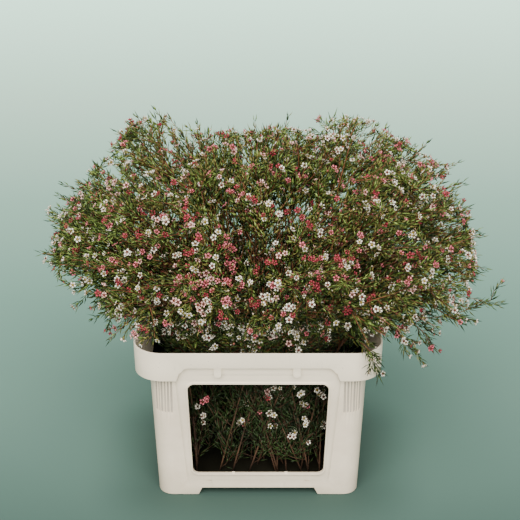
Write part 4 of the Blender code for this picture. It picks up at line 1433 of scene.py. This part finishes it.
def leaves_along(lines, pairs, first, last, length, rng, slant=(0.26, 0.72)):
    """Pairs of leaves on every line. Returns origins, directions, sides and lengths."""
    count = len(lines)
    share = np.linspace(first, last, pairs)[None] + rng.uniform(-0.03, 0.03, (count, pairs))
    share = np.clip(share, 0.1, 0.995)
    origins = sample_path(lines, share)
    ahead = unit(sample_path(lines, np.clip(share + 0.1, 0, 1)) - sample_path(lines, share - 0.1))
    side, across = any_square(ahead)
    turn = rng.uniform(0, np.pi, (count, 1)) + np.arange(pairs)[None] * np.pi / 2
    out = np.cos(turn)[..., None] * side + np.sin(turn)[..., None] * across
    angle = rng.uniform(*slant, (count, pairs, 2))
    result = []
    for k, sign in enumerate((1, -1)):
        tilt = angle[..., k, None]
        direction = unit(np.cos(tilt) * ahead + sign * np.sin(tilt) * out)
        result.append((origins, direction, unit(np.cross(direction, ahead))))
    origins, ahead, side = (np.concatenate([r[i].reshape(-1, 3) for r in result]) for i in range(3))
    return origins, ahead, side, rng.uniform(*length, len(origins))


# %% Leaf arrays
LEAF_DEPTH = 0.80
HIDDEN_LEAVES = 0.16
WIDE_DEPTH = 0.86
WIDE_FACTOR = 1.7
NEEDLE_WIDTH = (0.0017, 0.0028)
INSIDE_WIDTH = (0.0013, 0.0021)
BROAD_WIDTH = (0.0026, 0.0038)


def leaf_arrays(groups, width, rng):
    """Leaves that are clear and shown. The deeper ones are wider, which closes the bush."""
    origins, ahead, side, length = (np.concatenate(parts) for parts in zip(*groups))
    tips = origins + ahead * length[:, None]
    good = clear_of_bucket(tips) & clear_of_bucket(origins)
    good &= thinned(origins, LEAF_DEPTH, HIDDEN_LEAVES, rng)
    origins, ahead, side, length = origins[good], ahead[good], side[good], length[good]
    deep = (depth_share(origins) < WIDE_DEPTH) & (origins[:, 2] > HEIGHT)
    wide = rng.uniform(*width, len(origins)) * np.where(deep, WIDE_FACTOR, 1.0)
    return origins, ahead, side, np.stack([length, wide, wide], axis=-1)


leaf_groups = [
    leaves_along(twig_lines, 6, 0.08, 0.99, (0.009, 0.019), dice),
    leaves_along(branch_lines, 8, 0.15, 0.98, (0.012, 0.025), dice),
    leaves_along(spire_lines, 12, 0.10, 0.99, (0.009, 0.016), dice, (0.20, 0.50)),
    leaves_along(stem_lines[:, 9:], 9, 0.10, 0.99, (0.014, 0.026), dice),
]
inside_groups = [
    leaves_along(stem_lines[:, :10], 9, 0.10, 0.98, (0.016, 0.030), dice, (0.5, 1.1)),
    leaves_along(low_twig_lines, 4, 0.08, 0.99, (0.016, 0.030), dice),
    leaves_along(low_lines, 8, 0.10, 0.98, (0.018, 0.034), dice),
]
leaf_origins, leaf_ahead, leaf_side, leaf_size = leaf_arrays(leaf_groups, NEEDLE_WIDTH, dice)
inside_leaves = leaf_arrays(inside_groups, INSIDE_WIDTH, dice)
print("leaves", len(leaf_origins), "inside", len(inside_leaves[0]))

# %% [markdown]
# ## Five greens
# The needles run from a very dark green inside the bush to yellow green at the tips, and the left
# side is the greenest. Young tips are truly paler, but the darkest tones, low and deep in the bush,
# are partly painted shade. One material could mix all tones by a ramp, but then neighbours would
# match. Here leaves are sorted by chance and by place, and each tone is a piece of its own. A few
# hundred broad bright leaves stand among them, and the needles behind the window get a near-black
# green, which is painted shade.


# %% Leaf pieces
TONE_CUTS = (0.36, 0.62, 0.86)
GREEN_SIDE_X = -0.20
LEAF_PATTERN = (14, 90, 2.0)


def split_by_tone(origins, rng):
    """0 deep, 1 mid, 2 olive, 3 bright: brighter with height, towards the outside and by chance.
    The young tips are truly paler; the darker tones low and deep in the bush are partly painted shade.
    """
    height = np.clip((origins[:, 2] - 0.28) / 0.17, 0, 1)
    outer = np.clip((depth_share(origins) - 0.60) / 0.25, 0, 1)
    score = rng.random(len(origins)) * (0.50 + 0.20 * height + 0.18 * outer) + 0.12 * height
    tones = np.digitize(score, TONE_CUTS)
    turned = (tones == 2) & (rng.random(len(origins)) < 0.75)
    greener = rng.choice((1, 3), size=len(origins), p=(0.45, 0.55))
    return np.where((origins[:, 0] < GREEN_SIDE_X) & turned, greener, tones)


GREENS = (
    # the darkest green, partly painted shade deep in the bush
    ("leaves_deep_painted_shade", (0.007, 0.016, 0.003), (0.034, 0.062, 0.010)),
    ("leaves_mid", (0.033, 0.060, 0.009), (0.108, 0.160, 0.026)),
    ("leaves_olive", (0.085, 0.085, 0.016), (0.225, 0.205, 0.048)),
    ("leaves_bright", (0.110, 0.185, 0.028), (0.250, 0.340, 0.078)),
)
broad = leaves_along(branch_lines, 1, 0.6, 0.6, (0.020, 0.032), dice)
broad_leaves = leaf_arrays([broad], BROAD_WIDTH, dice)
broad_leaves = tuple(values[::3] for values in broad_leaves)
tones = split_by_tone(leaf_origins, dice)
for number, (name, dark, light) in enumerate(GREENS):
    pick = tones == number
    parts = [place_copies(LEAF, leaf_origins[pick], leaf_ahead[pick], leaf_side[pick], leaf_size[pick])]
    if name == "leaves_bright":
        parts.append(place_copies(LEAF, *broad_leaves))
    green = mottled(name, dark, light, *LEAF_PATTERN, 0.48)
    plant.append(add_piece(name, join_arrays(parts), green, smooth=False))
# the needles behind the window: a near-black green, painted shade inside the bucket
window_needle_shade_tones = ((0.007, 0.016, 0.004), (0.036, 0.070, 0.014))
window_needles_painted_shade = mottled("window_needles_painted_shade", *window_needle_shade_tones, *LEAF_PATTERN, 0.5)
inside_copies = place_copies(LEAF, *inside_leaves)
plant.append(add_piece("leaves_inside", inside_copies, window_needles_painted_shade, smooth=False))

# %% [markdown]
# ## One flower
# Five round petals stand apart round a dark cup, so that light shows between them. A pierced disc
# would take fewer triangles, but the gaps and the hollow petals make a waxflower what it is. A
# petal is a small closed lens. The cup is a shallow bowl, and below it a calyx narrows to a thin
# stalk. About four in ten flowers are half open. x is the way the flower looks.


# %% Flower templates
def petal_ring(radius, cup_rise, half_rim):
    """Five closed petals, each from the rim given by its one side and two middle points."""
    rim = list(half_rim) + [(r, -w) for r, w in reversed(half_rim)]
    middles = [(0.62, 0.0, 0.05), (0.62, 0.0, 0.14)]
    points, faces = [], []
    for petal in range(5):
        turn = 2 * math.pi * petal / 5
        start = len(points)
        top, bottom = start + len(rim), start + len(rim) + 1
        for r, w, sink in [(*pair, 0.0) for pair in rim] + middles:
            y = r * math.cos(turn) - w * math.sin(turn)
            z = r * math.sin(turn) + w * math.cos(turn)
            points.append(((cup_rise * r * r - sink) * radius, y * radius, z * radius))
        for k in range(len(rim)):
            j = (k + 1) % len(rim)
            faces += [(start + k, start + j, top), (start + j, start + k, bottom)]
    return np.array(points), np.array(faces)


def bowl(radius, depth, sides, flare=0.35):
    """A closed bowl: a rim, a hollow middle and a point below."""
    points = [(0.0, 0.0, 0.0), (-depth, 0.0, 0.0)]
    for k in range(sides):
        turn = 2 * math.pi * k / sides
        points.append((flare * radius, radius * math.cos(turn), radius * math.sin(turn)))
    faces = []
    for k in range(sides):
        here, after = 2 + k, 2 + (k + 1) % sides
        faces += [(here, after, 0), (after, here, 1)]
    return np.array(points), np.array(faces)


FLOWER_RADIUS = 0.0054
PETALS = petal_ring(FLOWER_RADIUS, 0.28, ((0.24, 0.12), (0.60, 0.37), (0.96, 0.19)))
HALF_OPEN = petal_ring(FLOWER_RADIUS * 0.82, 0.85, ((0.26, 0.18), (0.88, 0.36)))
CUP = bowl(0.0021, 0.0012, 6)
CALYX = bowl(0.0019, 0.0042, 4)
BUD = bowl(0.0017, 0.0030, 5, flare=-0.10)
print("petal triangles per flower", len(PETALS[1]))

# %% [markdown]
# ## Where the flowers sit
# Flowers crown the twigs in loose clusters of one to four on short stalks, all at about the same
# level. Scattered over a surface, they would lose those clusters, so each starts at the end of a
# twig. They look outwards and up, each a little its own way. Some twigs carry only buds.


# %% Flower places
def clusters(lines, odds, rng):
    """Flower places round the end of every line: origins, stalk roots, facings and clusters."""
    ends, ahead = lines[:, -1], unit(lines[:, -1] - lines[:, -2])
    number = rng.choice(len(odds), p=odds, size=len(lines))
    places = np.repeat(np.arange(len(lines)), number)
    side, across = any_square(ahead[places])
    turn = rng.uniform(0, 2 * np.pi, len(places))[:, None]
    out = np.cos(turn) * side + np.sin(turn) * across
    stalk = unit(ahead[places] + rng.uniform(0.25, 0.95, len(places))[:, None] * out)
    origins = ends[places] + stalk * rng.uniform(0.006, 0.012, len(places))[:, None]
    outward = unit((origins - np.array([0.0, 0.0, 0.20])) * np.array([1.0, 1.0, 0.8]))
    facing = 0.75 * stalk + 0.55 * outward + 0.42 * rng.normal(0, 1, origins.shape)
    return origins, ends[places], unit(facing), places


# chances of no flower, one, two, three and four at the end of a twig
CROWN_ODDS = (0.28, 0.36, 0.24, 0.09, 0.03)
LOW_ODDS = (0.58, 0.15, 0.12, 0.09, 0.06)
FLOWER_DEPTH = 0.82
HIDDEN_FLOWERS = 0.07
FLOWER_ROOM = 0.004
PANE_FLOWER_Y = (-0.055, -0.02)
PANE_FLOWER_Z = (0.070, 0.192)
crown = clusters(twig_lines, CROWN_ODDS, dice)
low_ends = low_twig_lines[:, -1]
by_pane = (low_ends[:, 2] > PANE_FLOWER_Z[0]) & (low_ends[:, 2] < PANE_FLOWER_Z[1])
by_pane &= low_ends[:, 1] < PANE_FLOWER_Y[0]
inside = clusters(low_twig_lines[by_pane], LOW_ODDS, dice)
visible = thinned(crown[0], FLOWER_DEPTH, HIDDEN_FLOWERS, dice)
visible &= clear_of_bucket(crown[0] + crown[2] * FLOWER_ROOM)
in_front = inside[0][:, 1] < PANE_FLOWER_Y[1]
in_front &= clear_of_bucket(inside[0] + inside[2] * FLOWER_ROOM)
crown = [values[visible] for values in crown]
inside = [values[in_front] for values in inside]
inside[3] = inside[3] + len(twig_lines)
inside[2] = unit(inside[2] * np.array([1.0, 0.3, 1.0]) + np.array([0.0, -1.6, 0.5]))
flower_at, stalk_root, flower_facing, cluster_of = (
    np.concatenate([one, other]) for one, other in zip(crown, inside)
)
print("flowers", len(flower_at), "inside", len(inside[0]))

# %% [markdown]
# ## White, blush, pink and crimson
# Waxflowers open white and turn pink as they age, cluster by cluster, so a cluster draws its
# colour and its flowers share it. The pinks lie in a broad band across the upper middle, whites
# all over and most at the bottom. The left edge and the very top have fewer flowers, because
# they are mostly leaf.


# %% Flower colours
PINK_HEIGHT = (0.50, 0.085)
PINK_MIDDLE = (-0.03, 0.20)
PINK_SHARE = (0.17, 0.66)
PINK_STEPS = (1.0, 0.80, 0.38)
LEAFY_LEFT = (-0.24, 0.60)
LEAFY_TOP = (0.575, 0.20)


def flower_tone(origins, cluster, rng):
    """0 white, 1 blush, 2 pink, 3 crimson."""
    chance = rng.random(cluster.max() + 1)[cluster]
    band = bell(origins[:, 2], *PINK_HEIGHT)
    middle = bell(origins[:, 0], *PINK_MIDDLE)
    pinkness = PINK_SHARE[0] + PINK_SHARE[1] * band * (0.45 + 0.55 * middle)
    tone = np.zeros(len(origins), int)
    for number, step in enumerate(PINK_STEPS, 1):
        tone[chance < pinkness * step] = number
    return tone


tone = flower_tone(flower_at, cluster_of, dice)
sparse = np.where(flower_at[:, 0] < LEAFY_LEFT[0], LEAFY_LEFT[1], 0.0)
sparse = np.where(flower_at[:, 2] > LEAFY_TOP[0], LEAFY_TOP[1], sparse)
keep = dice.random(len(flower_at)) >= sparse
flower_at, stalk_root, flower_facing, tone = (
    values[keep] for values in (flower_at, stalk_root, flower_facing, tone)
)
print("tones", np.bincount(tone))

# %% Flower pieces
PETAL_TONES = (
    ("petals_white", (0.60, 0.53, 0.41), (0.90, 0.86, 0.76), "white_petal"),
    ("petals_blush", (0.62, 0.28, 0.25), (0.84, 0.58, 0.52), "white_petal"),
    ("petals_pink", (0.44, 0.065, 0.095), (0.72, 0.220, 0.265), "pink_petal"),
    ("petals_crimson", (0.22, 0.014, 0.028), (0.42, 0.050, 0.075), "pink_petal"),
)
HALF_OPEN_ODDS = (0.30, 0.60)
spin = dice.uniform(0, 2 * np.pi, len(flower_at))[:, None]
side, across = any_square(flower_facing)
flower_side = np.cos(spin) * side + np.sin(spin) * across
flower_size = dice.uniform(0.82, 1.10, len(flower_at))[:, None] * np.ones((1, 3))
half_open = dice.random(len(flower_at)) < np.where(tone >= 2, HALF_OPEN_ODDS[1], HALF_OPEN_ODDS[0])
print("half open", int(half_open.sum()), "of", len(half_open))


def flower_copies(template, pick, at=None):
    places = flower_at if at is None else at
    return place_copies(template, places[pick], flower_facing[pick], flower_side[pick], flower_size[pick])


for number, (name, dark, light, slot) in enumerate(PETAL_TONES):
    of_tone = tone == number
    parts = [flower_copies(PETALS, of_tone & ~half_open), flower_copies(HALF_OPEN, of_tone & half_open)]
    petal = mottled(name, dark, light, 40, 500, 2.0, 0.45)
    plant.append(add_piece(name, join_arrays(parts), petal, smooth=False))

# %% [markdown]
# ## Cups, calyces, stalks and buds
# The cup is dark red in most flowers and olive yellow in half of the white ones. Stalks run from
# the twig's end to the calyx. Buds are small round knobs on stalks of their own, pale ones and
# red ones. All could be part of the petals' meshes, but as pieces of their own they keep their
# own colours and gloss.

# %% Cups and calyces
CUP_LIFT = 0.0005
STALK_DROP = 0.0036
STALK_TUBE = (0.00040, 0.00040, 3)
cup_red = mottled("cup_red", (0.050, 0.008, 0.005), (0.150, 0.035, 0.016), 60, 700, 2.0, 0.35)
cup_olive = mottled("cup_olive", (0.120, 0.085, 0.010), (0.300, 0.210, 0.030), 60, 700, 2.0, 0.35)
calyx_green = mottled("calyx_green", (0.090, 0.085, 0.016), (0.240, 0.150, 0.055), 40, 300, 2.0, 0.5)
young = (tone == 0) & (dice.random(len(tone)) < 0.5)
cup_at = flower_at + flower_facing * CUP_LIFT
for name, skin, pick in (("cups_red", cup_red, ~young), ("cups_olive", cup_olive, young)):
    plant.append(add_piece(name, flower_copies(CUP, pick, cup_at), skin, smooth=False))
every = np.ones(len(flower_at), bool)
stalk_lines = np.stack([stalk_root, flower_at - flower_facing * STALK_DROP], axis=1)
calyces = join_arrays([flower_copies(CALYX, every), wood(stalk_lines, *STALK_TUBE)])
plant.append(add_piece("calyces", calyces, calyx_green))


# %% Buds
BUD_STALK = 0.007
BUD_STALK_TUBE = (0.00035, 0.00035, 3)
BUD_SHARE = 0.17


def buds(lines, rng):
    """One bud on a stalk of its own at the end of every line."""
    ahead = unit(lines[:, -1] - lines[:, -2])
    side, across = any_square(ahead)
    turn = rng.uniform(0, 2 * np.pi, len(lines))[:, None]
    facing = unit(ahead + 0.7 * (np.cos(turn) * side + np.sin(turn) * across))
    at = lines[:, -1] + facing * BUD_STALK
    good = clear_of_bucket(at + facing * 0.003)
    at, facing, root = at[good], facing[good], lines[good, -1]
    size = rng.uniform(0.7, 1.25, len(at))[:, None] * np.ones((1, 3))
    heads = place_copies(BUD, at, facing, any_square(facing)[0], size)
    stalks = np.stack([root, at - facing * 0.002], axis=1)
    return join_arrays([heads, wood(stalks, *BUD_STALK_TUBE)])


bud_chance = dice.random(len(twig_lines))
bud_pale = mottled("bud_pale", (0.34, 0.24, 0.14), (0.70, 0.58, 0.44), 60, 300, 2.2, 0.45)
bud_red = mottled("bud_red", (0.16, 0.030, 0.020), (0.42, 0.13, 0.09), 60, 300, 2.2, 0.45)
for name, skin, pick in (
    ("buds_pale", bud_pale, bud_chance < BUD_SHARE),
    ("buds_red", bud_red, bud_chance > 1 - BUD_SHARE),
):
    plant.append(add_piece(name, buds(twig_lines[pick], dice), skin))

# %% [markdown]
# ## Standing in for the imported stems
# The imported stems stay for collision, and the pieces above stand in for them all. They could stay
# visible inside the bush, but their smooth cores would show through the twigs.

# %% Hand over and finish
for piece in plant:
    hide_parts(*STEM_NODES)
print("plant triangles", sum(len(piece.data.polygons) for piece in plant))
